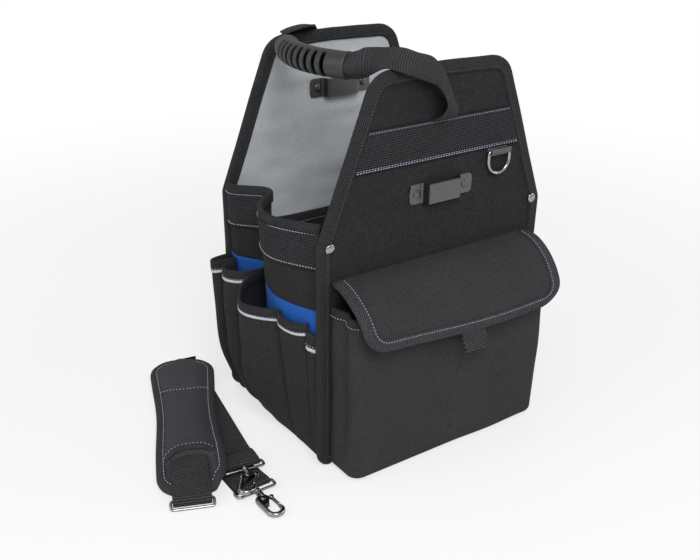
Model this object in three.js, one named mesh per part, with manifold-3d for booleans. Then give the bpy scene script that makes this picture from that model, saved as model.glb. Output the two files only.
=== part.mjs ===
// An open-top tool bag: two tall gables joined by soft side walls, a ribbed carrying handle that has
// flopped over to the left, a covered front pocket, tool pockets down both sides, and a detachable
// shoulder strap that lies folded on the floor beside the bag.
// Millimetres, +Z up, the front towards -Y. The origin is the middle of the base, on the floor.
import * as THREE from "three";
import { mergeVertices } from "three/addons/utils/BufferGeometryUtils.js";
import Module from "manifold-3d";

// The bag as a whole
const WIDTH = 270;
const DEPTH = 190;
const HEIGHT = 392;
const GAP = 0.3;

// Gables: a stiffened panel and a lining, held together by a tape that wraps round their edge
const SHOULDER_HEIGHT = 238;
const TOP_WIDTH = 154;
const TOP_CROWN = 2;
const TOP_RADIUS = 28;
const SHOULDER_RADIUS = 16;
const PANEL_THICKNESS = 3.2;
const LINING_THICKNESS = 0.8;
const TAPE_THICKNESS = 1.2;
const TAPE_WIDTH = 13;
const TAPE_FOOT = 0.6;
const FOOT_RADIUS = 14;

// Base board
const BASE_THICKNESS = 3.2;
const BASE_RADIUS = 8;

// Side walls: a wavy plan at the top edge that straightens towards the base
const WALL_FOOT = 124;
const WALL_THICKNESS = 2.2;
const WALL_FRONT_HEIGHT = 258;
const WALL_REAR_HEIGHT = 248;
const LINER_HEIGHT = 170;
const WALL_RISE = 0.8;
const WALL_BINDING = 10;
const WALL_BAND = 34;
const BAND_THICKNESS = 1.4;
// Share of the half depth, and how far the top edge stands out past the foot of the wall there
const WALL_PLAN = [
  [-1.0, 3],
  [-0.66, 19],
  [-0.32, 27],
  [0.03, 17],
  [0.25, 0],
  [0.38, -12],
  [0.53, -12],
  [0.69, 0],
  [0.84, 10],
  [1.0, 8],
];

// Tool pockets of one side, from the front: share of the depth, how far the lip's front and rear ends
// lie below the liner's top edge, how far the lip sags and stands out, and how far to the rear it leans
const POCKET_SKIN = 1.6;
const POCKET_FOOT = 4;
const POCKET_SEAM = 0.6;
const POCKET_FULLNESS = 1.9;
const SIDE_POCKETS = [
  { share: 0.078, front: 23, rear: 22, sag: 0, bulge: 5, lean: 1 },
  { share: 0.209, front: 15, rear: 15, sag: 2, bulge: 6, lean: 1 },
  { share: 0.442, front: 13, rear: 7, sag: 6, bulge: 31, lean: 2.3 },
  { share: 0.193, front: 5, rear: 5, sag: 2, bulge: 26, lean: 1 },
  { share: 0.078, front: 2, rear: 2, sag: 0, bulge: 25, lean: 1 },
];

// Pocket band inside the rear gable
const INNER_POCKET_WIDTH = 218;
const INNER_POCKET_HEIGHT = 200;
const INNER_POCKET_FOOT = 8;
const INNER_POCKET_BULGE = 12;

// Front pocket and its flap
const FRONT_POCKET_INSET = 15;
const FRONT_POCKET_WIDTH = WIDTH - 2 * FRONT_POCKET_INSET;
const FRONT_POCKET_DEPTH = 40;
const FRONT_POCKET_HEIGHT = 178;
const FRONT_POCKET_FOOT = 0.6;
const FRONT_POCKET_BULGE = 3;
const FRONT_POCKET_CORNER = 12;
const FRONT_POCKET_TOE = 7;
const FRONT_POCKET_SKIN = 2.2;
const FLAP_ABOVE_POCKET = 25;
const FLAP_THICKNESS = 3.2;
const FLAP_CORNER = 26;
const FLAP_DROP = 60;
const FLAP_OVERHANG = 18;
const FLAP_TAPE = 12;
const FLAP_TAPE_THICKNESS = 1;
const TAB_WIDTH = 25;
const TAB_LENGTH = 24;
const TAB_THICKNESS = 3;
const TAB_OFFSET = 6;

// Webbing across each gable
const STRIP_HEIGHT = 38;
const STRIP_BELOW_TOP = 90.5;
const STRIP_FOOT = HEIGHT - STRIP_BELOW_TOP;
const STRIP_THICKNESS = 1.6;

// Spring clips
const CLIP_LENGTH = 75;
const CLIP_HEIGHT = 19;
const CLIP_THICKNESS = 1.5;
const CLIP_STANDOFF = 7;
const CLIP_TAB = 15;
const CLIP_RAMP = 4;
const CLIP_CORNER = 4;
const CLIP_RIVET = 3.4;
const FRONT_CLIP_BELOW_TOP = 121.5;
const REAR_CLIP_BELOW_TOP = 60.5;
const REAR_CLIP_OFFSET = 8;

// Shoulder rivets
const RIVET_RADIUS = 4.5;
const RIVET_HEIGHT = 2;
const RIVET_INSET = 12;

// D-rings in their webbing loops
const RING_WIDTH = 34;
const RING_DROP = 24.6;
const RING_WIRE = 3.5;
const RING_CORNER = 3;
const RING_OFFSET = 71.5;
const LOOP_WIDTH = 25;
const LOOP_THICKNESS = 1.3;

// Handle: webbing from each gable into a bowed, ribbed grip
const HANDLE_WEB_WIDTH = 38;
const HANDLE_WEB_THICKNESS = 1.8;
const HANDLE_X = 1;
const HANDLE_ROOT_OFFSET = 5;
const HANDLE_ROWS = 22;
const HANDLE_FOLD_ROW = 6;
// Left edge, middle and right edge of the webbing at places along it, each as millimetres across from
// the handle's middle, out from the gable and up from its top edge
const HANDLE_ROUTE = [
  [[-13.2, 13, -44.8], [-0.7, 9, -45.3], [12.9, 2.5, -45.1]],
  [[-12.2, 19, -34.9], [-3.3, 14, -34.6], [7.6, 3, -35.4]],
  [[-14, 15, -24.4], [-7.3, 13, -23.5], [1.1, 3.5, -23.9]],
  [[-18, 11, -17.4], [-13, 12, -12.3], [-4.8, 4, -12.2]],
  [[-24.9, 9, -14], [-18.3, 9, -6.5], [-9.6, 3, -4.3]],
  [[-34, 7, -10.5], [-26.5, 5, -2], [-14.8, -3, 3.5]],
  [[-45.9, 5.5, -6], [-37.7, 1.5, 3], [-22.9, -13, 5.8]],
  [[-57.6, 4.5, -2], [-47.5, -7, 5], [-31.8, -22, 9.3]],
  [[-62.5, -9, -1.5], [-56, -17, 4.8], [-41.7, -28, 10.4]],
];
// The rear arm's upper edge lies this much lower where it meets the grip
const REAR_ARM_DROP = 3;
// The sleeve's sections, counted from the end of the grip outwards
const SLEEVE_STEPS = [
  { distance: 24, height: 13.5, bulge: 11, open: -3 },
  { distance: 13, height: 12, bulge: 12, open: 0 },
  { distance: 1, height: 11.5, bulge: 11.5, open: 2 },
];
const GRIP_LENGTH = 100;
const GRIP_BOW = 13;
const GRIP_RADIUS = 14.5;
const GRIP_REACH = 77;
const GRIP_DROP = 2;
const GRIP_TILT = THREE.MathUtils.degToRad(3);
const GRIP_COLLAR = 24;
const GRIP_RIBS = 9;
const RIB_GROOVE = 2.4;
const GRIP_LIP = 2.2;

// Shoulder strap: folded webbing, pad, ring and two swivel snap hooks
const STRAP_WIDTH = 37;
const STRAP_THICKNESS = 1.6;
const STRAP_TURN_SLACK = 3.4;
const PAD_LENGTH = 250;
const PAD_END_WIDTH = 72;
const PAD_WAIST_WIDTH = 63;
const PAD_FOOT_WIDTH = 68;
const PAD_CORNER = 29;
const PAD_EDGE = 6;
const PAD_CROWN = 7;
const PAD_COVER_START = -66;
const PAD_COVER_STITCH = 50;
const PAD_BINDING = 9;
const PAD_LIFT = 7.6;
const PAD_STRAP_OFFSET = -2;
// The middle of the pad; the hooks and the fold below are placed from it
const PAD_X = -213;
const PAD_Y = 46;
const PAD_ANGLE = THREE.MathUtils.degToRad(-21.8);
const EYE_WIRE = 2.8;
const EYE_SLACK = 1.2;
const EYE_SPAN = 10;
const EYE_CORNER = 3;
const LINK_SPAN = 9;
const HOOK_THICKNESS = 5.2;
const HOOK_RADIUS = 8.6;
const HOOK_WIRE = 4.2;
const HOOK_LENGTH = 30;
const HOOK_BARREL = 3.4;
const HOOK_BARREL_LENGTH = 7;
const GATE_WIDTH = 3;
const HOOK_ONE = {
  x: 13,
  y: -100,
  z: 7.3,
  turn: THREE.MathUtils.degToRad(-9),
  pitch: THREE.MathUtils.degToRad(5),
};
const HOOK_TWO = { x: 8, y: -131, z: 3.6, turn: 0, pitch: 0 };
const FOLD_POINT = { x: 8, y: 16 };

// Faces of a gable, as distances from the middle of the bag
const OUTER_FACE = DEPTH / 2;
const PANEL_OUTER = OUTER_FACE - TAPE_THICKNESS - GAP;
const PANEL_INNER = PANEL_OUTER - PANEL_THICKNESS;
const LINING_OUTER = PANEL_INNER - GAP;
const LINING_INNER = LINING_OUTER - LINING_THICKNESS;
const TAPE_INNER = LINING_INNER - GAP - TAPE_THICKNESS;
const INSIDE = TAPE_INNER - GAP;
const HANDLE_AXIS_HEIGHT = HEIGHT + 1;

const CLOTH = new THREE.MeshStandardMaterial({ color: 0x1b1c1f, roughness: 0.92, metalness: 0 });
const TAPE = new THREE.MeshStandardMaterial({ color: 0x232427, roughness: 0.88, metalness: 0 });
const WEBBING = new THREE.MeshStandardMaterial({ color: 0x1f2022, roughness: 0.9, metalness: 0 });
const LINING = new THREE.MeshStandardMaterial({ color: 0x8c9499, roughness: 0.85, metalness: 0 });
const BLUE = new THREE.MeshStandardMaterial({ color: 0x1f4fa8, roughness: 0.8, metalness: 0 });
const NICKEL = new THREE.MeshStandardMaterial({ color: 0x8a8782, roughness: 0.38, metalness: 1 });
const CHROME = new THREE.MeshStandardMaterial({ color: 0xb4b6b8, roughness: 0.18, metalness: 1 });
const RUBBER = new THREE.MeshStandardMaterial({ color: 0x2c2d30, roughness: 0.6, metalness: 0 });

const wasm = await Module();
wasm.setup();

const bag = new THREE.Group();

function vector(x, y, z) {
  return new THREE.Vector3(x, y, z);
}

function lerp(a, b, t) {
  return a + (b - a) * t;
}

// Numbers from a to b in equal steps, ends included
function spread(a, b, steps) {
  return Array.from({ length: steps + 1 }, (_, i) => lerp(a, b, i / steps));
}

// A smooth function through [position, value] pairs
function through(pairs) {
  const slope = (i) => {
    const [a, b] = [pairs[Math.max(i - 1, 0)], pairs[Math.min(i + 1, pairs.length - 1)]];
    return (b[1] - a[1]) / (b[0] - a[0]);
  };
  return (at) => {
    const t = THREE.MathUtils.clamp(at, pairs[0][0], pairs[pairs.length - 1][0]);
    const i = Math.max(pairs.findIndex(([p]) => p >= t) - 1, 0);
    const span = pairs[i + 1][0] - pairs[i][0];
    const s = (t - pairs[i][0]) / span;
    const start = pairs[i][1] * (1 + 2 * s) * (1 - s) ** 2 + slope(i) * span * s * (1 - s) ** 2;
    const end = pairs[i + 1][1] * s * s * (3 - 2 * s) + slope(i + 1) * span * s * s * (s - 1);
    return start + end;
  };
}

// A geometry from points and triangles, turned so that its faces point outwards
function closedGeometry(points, triangles) {
  let volume = 0;
  for (let i = 0; i < triangles.length; i += 3) {
    const [a, b, c] = [points[triangles[i]], points[triangles[i + 1]], points[triangles[i + 2]]];
    volume += a.dot(b.clone().cross(c));
  }
  const facing = volume < 0 ? triangles.toReversed() : triangles;
  const geometry = new THREE.BufferGeometry().setFromPoints(points);
  geometry.setIndex(facing);
  geometry.computeVertexNormals();
  return geometry;
}

// A skin through rings of points, capped at the ends or joined where the rings run in a circle
function loft(rings, circular = false) {
  const count = rings[0].length;
  const triangles = [];
  const spans = circular ? rings.length : rings.length - 1;
  for (let i = 0; i < spans; i++) {
    const a = i * count;
    const b = ((i + 1) % rings.length) * count;
    for (let j = 0; j < count; j++) {
      const k = (j + 1) % count;
      triangles.push(a + j, a + k, b + k, a + j, b + k, b + j);
    }
  }
  if (!circular) {
    const last = (rings.length - 1) * count;
    for (let j = 1; j < count - 1; j++) triangles.push(0, j + 1, j, last, last + j, last + j + 1);
  }
  return closedGeometry(rings.flat(), triangles);
}

// Rows of points moved square to the surface that they span
function offsetRows(rows, distance) {
  const [lastRow, lastPoint] = [rows.length - 1, rows[0].length - 1];
  return rows.map((row, i) =>
    row.map((point, j) => {
      const along = rows[Math.min(i + 1, lastRow)][j].clone().sub(rows[Math.max(i - 1, 0)][j]);
      const across = row[Math.min(j + 1, lastPoint)].clone().sub(row[Math.max(j - 1, 0)]);
      return point.clone().addScaledVector(along.cross(across).normalize(), distance);
    }),
  );
}

// The closed skin between rows of points in front and matching rows behind
function slab(rows, back) {
  const [rowCount, count] = [rows.length, rows[0].length];
  const behind = rowCount * count;
  const triangles = [];
  const quad = (a, b, c, d) => triangles.push(a, b, c, a, c, d);
  for (let i = 0; i < rowCount - 1; i++) {
    for (let j = 0; j < count - 1; j++) {
      const a = i * count + j;
      quad(a, a + 1, a + 1 + count, a + count);
      quad(behind + a, behind + a + count, behind + a + 1 + count, behind + a + 1);
    }
    const [left, right] = [i * count, i * count + count - 1];
    quad(left, left + count, behind + left + count, behind + left);
    quad(right, behind + right, behind + right + count, right + count);
  }
  for (let j = 0; j < count - 1; j++) {
    const last = (rowCount - 1) * count + j;
    quad(j, behind + j, behind + j + 1, j + 1);
    quad(last, last + 1, behind + last + 1, behind + last);
  }
  return closedGeometry([...rows.flat(), ...back.flat()], triangles);
}

// A sheet of even thickness between rows of points and the same rows moved square to the surface
function sheet(rows, thickness) {
  return slab(rows, offsetRows(rows, thickness));
}

// Flat webbing along a path: each station is a point, the direction across and the width there
function ribbon(stations, thickness) {
  const rings = stations.map(({ at, across, width }, i) => {
    const before = stations[Math.max(i - 1, 0)].at;
    const after = stations[Math.min(i + 1, stations.length - 1)].at;
    const side = across.clone().normalize().multiplyScalar(width / 2);
    const up = after.clone().sub(before).cross(across).normalize().multiplyScalar(thickness / 2);
    const corner = (s, u) => at.clone().addScaledVector(side, s).addScaledVector(up, u);
    return [corner(-1, -1), corner(1, -1), corner(1, 1), corner(-1, 1)];
  });
  return loft(rings);
}

// Round wire bent along a closed path of [x, y] points, lying in the XY plane
function wireLoop(path, diameter, sides = 8) {
  const rings = path.map(([x, y], i) => {
    const [px, py] = path[(i + path.length - 1) % path.length];
    const [nx, ny] = path[(i + 1) % path.length];
    const normal = vector(ny - py, px - nx, 0).normalize();
    return Array.from({ length: sides }, (_, k) => {
      const angle = (2 * Math.PI * (k + 0.5)) / sides;
      const point = vector(x, y, (Math.sin(angle) * diameter) / 2);
      return point.addScaledVector(normal, (Math.cos(angle) * diameter) / 2);
    });
  });
  return loft(rings, true);
}

// Corners of a convex outline, given anticlockwise, after each side has moved inwards
function insetCorners(corners, distance) {
  const sides = corners.map(([x, y], i) => {
    const [nx, ny] = corners[(i + 1) % corners.length];
    const length = Math.hypot(nx - x, ny - y);
    const [dx, dy] = [(nx - x) / length, (ny - y) / length];
    return { x: x - dy * distance, y: y + dx * distance, dx, dy };
  });
  return sides.map((side, i) => {
    const last = sides[(i + sides.length - 1) % sides.length];
    const cross = last.dx * side.dy - last.dy * side.dx;
    const t = ((side.x - last.x) * side.dy - (side.y - last.y) * side.dx) / cross;
    return [last.x + last.dx * t, last.y + last.dy * t];
  });
}

// An outline of [x, y] corners with each one rounded to its own radius
function roundCorners(corners, radii, stepAngle = 15) {
  return corners.flatMap(([x, y], i) => {
    const radius = Array.isArray(radii) ? radii[i] : radii;
    if (radius <= 0) return [[x, y]];
    const here = new THREE.Vector2(x, y);
    const before = new THREE.Vector2(...corners[(i + corners.length - 1) % corners.length]);
    const after = new THREE.Vector2(...corners[(i + 1) % corners.length]);
    const back = before.sub(here).normalize();
    const on = after.sub(here).normalize();
    const half = Math.acos(THREE.MathUtils.clamp(back.dot(on), -1, 1)) / 2;
    const centre = here.clone().addScaledVector(back.clone().add(on).normalize(), radius / Math.sin(half));
    const start = here.clone().addScaledVector(back, radius / Math.tan(half)).sub(centre);
    const end = here.clone().addScaledVector(on, radius / Math.tan(half)).sub(centre);
    const turn = Math.atan2(start.cross(end), start.dot(end));
    const steps = Math.max(1, Math.ceil(Math.abs(turn) / THREE.MathUtils.degToRad(stepAngle)));
    return spread(0, turn, steps).map((angle) => {
      const point = start.clone().rotateAround(new THREE.Vector2(), angle).add(centre);
      return [point.x, point.y];
    });
  });
}

// A flat plate from an outline of [x, y] points, from z up by its thickness
function plate(outline, z, thickness) {
  const shape = new THREE.Shape(outline.map(([x, y]) => new THREE.Vector2(x, y)));
  const geometry = new THREE.ExtrudeGeometry(shape, { depth: thickness, bevelEnabled: false });
  return geometry.translate(0, 0, z);
}

// An upright plate from an outline of [x, z] points, from its front face at y back by its thickness
function upright(outline, y, thickness) {
  return plate(outline, -thickness - y, thickness).rotateX(Math.PI / 2);
}

function toSolid(geometry) {
  const bare = geometry.clone();
  bare.deleteAttribute("normal");
  bare.deleteAttribute("uv");
  const merged = mergeVertices(bare, 1e-4);
  const vertProperties = merged.getAttribute("position").array;
  const triVerts = new Uint32Array(merged.getIndex().array);
  return new wasm.Manifold(new wasm.Mesh({ numProp: 3, vertProperties, triVerts }));
}

function toGeometry(solid) {
  const { vertProperties, triVerts } = solid.getMesh();
  const geometry = new THREE.BufferGeometry();
  geometry.setAttribute("position", new THREE.BufferAttribute(vertProperties, 3));
  geometry.setIndex(new THREE.BufferAttribute(triVerts, 1));
  geometry.computeVertexNormals();
  return geometry;
}

function join(...geometries) {
  return toGeometry(geometries.map(toSolid).reduce((all, next) => all.add(next)));
}

function cut(geometry, ...tools) {
  return toGeometry(tools.map(toSolid).reduce((rest, tool) => rest.subtract(tool), toSolid(geometry)));
}

function overlap(a, b) {
  return toGeometry(toSolid(a).intersect(toSolid(b)));
}

function add(name, geometry, material, parent = bag) {
  const mesh = new THREE.Mesh(geometry, material);
  mesh.name = name;
  parent.add(mesh);
  return mesh;
}

// A low domed rivet head, its flat side at the origin and its dome towards -Y
function rivetHead(radius, height) {
  const dome = spread(0, Math.PI / 2, 4).map((angle) => {
    return new THREE.Vector2(radius * Math.cos(angle), height * (0.3 + 0.7 * Math.sin(angle)));
  });
  dome[dome.length - 1].x = 0;
  const profile = [new THREE.Vector2(0, 0), new THREE.Vector2(radius, 0), ...dome];
  return new THREE.LatheGeometry(profile, 14).rotateX(Math.PI);
}

// The outline of a gable, moved inwards, with its lower edge at a height of its own
function gableOutline(inset, foot) {
  const half = WIDTH / 2;
  const corners = [
    [-half, -inset],
    [half, -inset],
    [half, SHOULDER_HEIGHT],
    [TOP_WIDTH / 2, HEIGHT - TOP_CROWN],
    [0, HEIGHT],
    [-TOP_WIDTH / 2, HEIGHT - TOP_CROWN],
    [-half, SHOULDER_HEIGHT],
  ];
  const moved = insetCorners(corners, inset);
  moved[0][1] = foot;
  moved[1][1] = foot;
  const [shoulder, top] = [SHOULDER_RADIUS - inset, TOP_RADIUS - inset];
  const lower = FOOT_RADIUS - inset;
  return roundCorners(moved, [lower, lower, shoulder, top, 0, top, shoulder]);
}

// Half the width of a gable's flat face between the tapes, at a height above the shoulder
function faceHalfWidth(z, inset) {
  const rise = HEIGHT - TOP_CROWN - SHOULDER_HEIGHT;
  const run = (WIDTH - TOP_WIDTH) / 2;
  const edge = WIDTH / 2 - ((z - SHOULDER_HEIGHT) / rise) * run;
  return edge - (inset * Math.hypot(rise, run)) / rise;
}

// Panel, lining and edge tape of the gable at the front; turned about Z it serves at the rear
function buildGable(name, parent) {
  const foot = TAPE_FOOT;
  const wrapped = TAPE_THICKNESS + GAP;
  const below = -BASE_THICKNESS;
  const panel = upright(gableOutline(wrapped, foot + wrapped), -PANEL_OUTER, PANEL_THICKNESS);
  add(`${name}_panel`, panel, CLOTH, parent);
  const lining = upright(gableOutline(wrapped, foot + wrapped), -LINING_OUTER, LINING_THICKNESS);
  add(`${name}_lining`, lining, LINING, parent);
  const across = OUTER_FACE - TAPE_INNER;
  const whole = upright(gableOutline(0, foot), -OUTER_FACE, across);
  const window = upright(gableOutline(TAPE_WIDTH, below), -OUTER_FACE - 1, across + 2);
  const slotOutline = gableOutline(TAPE_THICKNESS, foot + TAPE_THICKNESS);
  const slot = upright(slotOutline, TAPE_THICKNESS - OUTER_FACE, across - 2 * TAPE_THICKNESS);
  add(`${name}_edge_tape`, cut(whole, window, slot), TAPE, parent);
}

// Webbing sewn across a gable between its edge tapes
function buildStrip(name, parent) {
  const reach = TAPE_WIDTH + GAP;
  const low = faceHalfWidth(STRIP_FOOT, reach);
  const high = faceHalfWidth(STRIP_FOOT + STRIP_HEIGHT, reach);
  const outline = [
    [-low, STRIP_FOOT],
    [low, STRIP_FOOT],
    [high, STRIP_FOOT + STRIP_HEIGHT],
    [-high, STRIP_FOOT + STRIP_HEIGHT],
  ];
  const front = -PANEL_OUTER - GAP - STRIP_THICKNESS;
  add(`${name}_webbing_strip`, upright(outline, front, STRIP_THICKNESS), WEBBING, parent);
}

function buildShoulderRivets(name, parent) {
  for (const [side, sign] of [["left", -1], ["right", 1]]) {
    const head = rivetHead(RIVET_RADIUS, RIVET_HEIGHT);
    const rivet = add(`${name}_${side}_shoulder_rivet`, head, NICKEL, parent);
    rivet.position.set(sign * (WIDTH / 2 - RIVET_INSET), -OUTER_FACE - GAP, SHOULDER_HEIGHT);
  }
}

// A bent steel clip with a riveted tab at each end and a raised middle, its back face at the origin
function clipGeometry() {
  const half = CLIP_LENGTH / 2;
  const [tab, ramp] = [half - CLIP_TAB, half - CLIP_TAB - CLIP_RAMP];
  const out = -CLIP_STANDOFF;
  const bend = [
    [-half, 0],
    [-tab, 0],
    [-ramp, out],
    [ramp, out],
    [tab, 0],
    [half, 0],
  ];
  const outer = bend.map(([x, y], i) => {
    const shift = [0, 1, 1, -1, -1, 0][i] * CLIP_THICKNESS * 0.6;
    return [x - shift, y - CLIP_THICKNESS];
  });
  const strip = plate([...outer, ...bend.toReversed()], -CLIP_HEIGHT / 2, CLIP_HEIGHT);
  const face = [
    [-half, -CLIP_HEIGHT / 2],
    [half, -CLIP_HEIGHT / 2],
    [half, CLIP_HEIGHT / 2],
    [-half, CLIP_HEIGHT / 2],
  ];
  const blank = upright(roundCorners(face, CLIP_CORNER), out - 2 * CLIP_THICKNESS, CLIP_STANDOFF * 2);
  const rivets = [-1, 1].map((sign) => {
    const x = sign * (half - CLIP_TAB / 2 - 1);
    return rivetHead(CLIP_RIVET, RIVET_HEIGHT).translate(x, -CLIP_THICKNESS + GAP, 0);
  });
  return join(overlap(strip, blank), ...rivets);
}

function buildClips() {
  const front = add("front_clip", clipGeometry(), NICKEL);
  front.position.set(0, -PANEL_OUTER - GAP, HEIGHT - FRONT_CLIP_BELOW_TOP);
  const rear = add("rear_inner_clip", clipGeometry(), NICKEL);
  rear.position.set(REAR_CLIP_OFFSET, LINING_INNER - GAP, HEIGHT - REAR_CLIP_BELOW_TOP);
}

// A D-ring that hangs by its straight bar in a loop of webbing below the strip
function buildRing(name, parent) {
  const barOut = PANEL_OUTER + GAP + LOOP_THICKNESS + RING_WIRE / 2 + GAP;
  const barHeight = STRIP_FOOT - RING_WIRE;
  const half = (RING_WIDTH - RING_WIRE) / 2;
  const corners = [
    [-half, 0],
    [-half, -RING_DROP],
    [half, -RING_DROP],
    [half, 0],
  ];
  const path = roundCorners(corners, [RING_CORNER, half, half, RING_CORNER], 22.5);
  const ring = add(`${name}_d_ring`, wireLoop(path, RING_WIRE).rotateX(Math.PI / 2), CHROME, parent);
  ring.position.set(RING_OFFSET, -barOut, barHeight);

  const inner = RING_WIRE / 2 + GAP;
  const outer = inner + LOOP_THICKNESS;
  const tail = STRIP_FOOT - GAP - barHeight;
  const arc = (radius) => {
    return spread(Math.PI, 2 * Math.PI, 8).map((a) => [radius * Math.cos(a), radius * Math.sin(a)]);
  };
  const outside = [[-outer, tail], ...arc(outer), [outer, tail]];
  const section = [...outside, [inner, tail], ...arc(inner).reverse(), [-inner, tail]];
  const geometry = plate(section, -LOOP_WIDTH / 2, LOOP_WIDTH).rotateX(Math.PI / 2).rotateZ(Math.PI / 2);
  const loop = add(`${name}_ring_loop`, geometry, WEBBING, parent);
  loop.position.set(RING_OFFSET, -barOut, barHeight);
}

function buildBase() {
  const [x, y] = [WALL_FOOT + GAP, INSIDE];
  const corners = [[-x, -y], [x, -y], [x, y], [-x, y]];
  add("base_board", plate(roundCorners(corners, BASE_RADIUS), 0, BASE_THICKNESS), CLOTH);
}

const wallStandout = through(WALL_PLAN);

function wallTop(y) {
  return lerp(WALL_FRONT_HEIGHT, WALL_REAR_HEIGHT, (y / INSIDE + 1) / 2);
}

// How far a side wall's outer face stands from the middle of the bag
function wallReach(y, z) {
  return WALL_FOOT + wallStandout(y / INSIDE) * Math.max(z / wallTop(y), 0) ** WALL_RISE;
}

// Rows of points on a side wall's outer face, between two heights given as functions of y
function wallRows(sign, low, high, steps, margin = 0) {
  return spread(0, 1, steps).map((v) =>
    spread(margin - INSIDE, INSIDE - margin, 26).map((y) => {
      const z = lerp(low(y), high(y), v);
      return vector(sign * wallReach(y, z), y, z);
    }),
  );
}

function buildSideWall(side, sign) {
  const cover = GAP + BAND_THICKNESS;
  const bindingFoot = (y) => wallTop(y) - WALL_BINDING;
  const bandFoot = (y) => bindingFoot(y) - WALL_BAND;
  const liner = wallRows(sign, () => BASE_THICKNESS + GAP, () => LINER_HEIGHT, 5);
  add(`${side}_liner`, sheet(liner, sign * WALL_THICKNESS), BLUE);
  const wall = wallRows(sign, () => LINER_HEIGHT + GAP, (y) => bindingFoot(y) - GAP, 4);
  add(`${side}_wall`, sheet(wall, sign * WALL_THICKNESS), CLOTH);
  const band = wallRows(sign, bandFoot, (y) => bindingFoot(y) - GAP, 2, cover);
  const bandOuter = offsetRows(band, -sign * (cover + GAP));
  add(`${side}_webbing_band`, sheet(bandOuter, sign * BAND_THICKNESS), WEBBING);
  const edge = wallRows(sign, bindingFoot, wallTop, 1, cover);
  const edgeOuter = offsetRows(edge, -sign * cover);
  add(`${side}_top_tape`, sheet(edgeOuter, sign * (WALL_THICKNESS + 2 * cover)), TAPE);
}

// One sleeve of the tool pockets: closed at its seams and its foot, open at its lip
function pocketRows(sign, start, width, { front, rear, sag, bulge, lean }) {
  const columns = width > 50 ? 14 : 8;
  return [0, 0.08, 0.2, 0.34, 0.5, 1].map((v) =>
    spread(0, 1, columns).map((s) => {
      const t = s ** (1 / lean) * (1 - s) + s * s;
      const y = start + t * width;
      const lip = LINER_HEIGHT - lerp(front, rear, t) - sag * Math.sin(Math.PI * t);
      const z = lerp(POCKET_FOOT, lip, v);
      const fullness = Math.sin((Math.PI / 2) * Math.min(v * POCKET_FULLNESS + 0.08, 1));
      const roundness = (1 - Math.abs(2 * t ** lean - 1) ** 2.6) ** (1 / 2.2);
      const reach = wallReach(y, z) + GAP + POCKET_SKIN + bulge * fullness * roundness;
      return vector(sign * reach, y, z);
    }),
  );
}

function buildSidePockets(side, sign) {
  let start = -INSIDE + POCKET_SEAM;
  const room = 2 * INSIDE - (SIDE_POCKETS.length + 1) * POCKET_SEAM;
  SIDE_POCKETS.forEach((pocket, i) => {
    const width = pocket.share * room;
    const rows = pocketRows(sign, start, width, pocket);
    add(`${side}_tool_pocket_${i + 1}`, sheet(rows, sign * POCKET_SKIN), CLOTH);
    start += width + POCKET_SEAM;
  });
}

function buildInnerPocket() {
  const face = LINING_INNER - GAP;
  const rows = spread(0, 1, 5).map((v) =>
    spread(-1, 1, 14).map((u) => {
      const fullness = Math.min(v * 3, 1) * (1 - u ** 4);
      const z = lerp(INNER_POCKET_FOOT, INNER_POCKET_HEIGHT, v);
      return vector((u * INNER_POCKET_WIDTH) / 2, face - INNER_POCKET_BULGE * fullness, z);
    }),
  );
  add("inner_pocket", sheet(rows, -POCKET_SKIN), CLOTH);
}

// How far the front pocket's lower edge draws in at a height, as a quarter circle
function toe(z) {
  const up = Math.max(FRONT_POCKET_TOE - z, 0);
  return FRONT_POCKET_TOE - Math.sqrt(FRONT_POCKET_TOE ** 2 - up ** 2);
}

// The front pocket's plan at a height: from the gable round the front and back to the gable
function frontPocketPlan(z) {
  const half = FRONT_POCKET_WIDTH / 2 - toe(z);
  const back = PANEL_OUTER + GAP;
  const full = Math.sin((Math.PI * z) / FRONT_POCKET_HEIGHT);
  const front = back + FRONT_POCKET_DEPTH + FRONT_POCKET_BULGE * full - toe(z);
  const corners = [[-half, -back], [-half, -front], [half, -front], [half, -back]];
  return roundCorners(corners, [0, FRONT_POCKET_CORNER, FRONT_POCKET_CORNER, 0], 22.5);
}

function buildFrontPocket() {
  const foot = FRONT_POCKET_FOOT;
  const upper = spread(FRONT_POCKET_TOE, FRONT_POCKET_HEIGHT, 5).slice(1);
  const levels = [...spread(foot, FRONT_POCKET_TOE, 3), ...upper];
  const rows = levels.map((z) => frontPocketPlan(z).map(([x, y]) => vector(x, y, z)));
  const skin = sheet(rows, FRONT_POCKET_SKIN);
  const floor = plate(frontPocketPlan(foot), foot, FRONT_POCKET_SKIN);
  add("front_pocket", join(skin, floor), CLOTH);
}

// The flap's outer face in side view, from its seam on the gable over the pocket's lip and down
function flapCurve() {
  const [y, z] = [-PANEL_OUTER - 2 * GAP, FRONT_POCKET_HEIGHT + FLAP_ABOVE_POCKET];
  const points = [
    [0, 0.02 * FLAP_DROP],
    [0.33, -0.03 * FLAP_DROP],
    [0.64, -0.2 * FLAP_DROP],
    [0.88, -0.46 * FLAP_DROP],
    [1, -0.72 * FLAP_DROP],
    [1, -FLAP_DROP],
  ];
  return new THREE.CatmullRomCurve3(points.map(([out, down]) => vector(0, y - out * (FRONT_POCKET_DEPTH + FLAP_OVERHANG), z + down)));
}

// Half the flap's width at a distance along its face: square at the seam, round at the lower corners
function flapHalfWidth(distance, length) {
  const past = Math.max(distance - (length - FLAP_CORNER), 0);
  return FRONT_POCKET_WIDTH / 2 - (FLAP_CORNER - Math.sqrt(FLAP_CORNER ** 2 - past ** 2));
}

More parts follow.
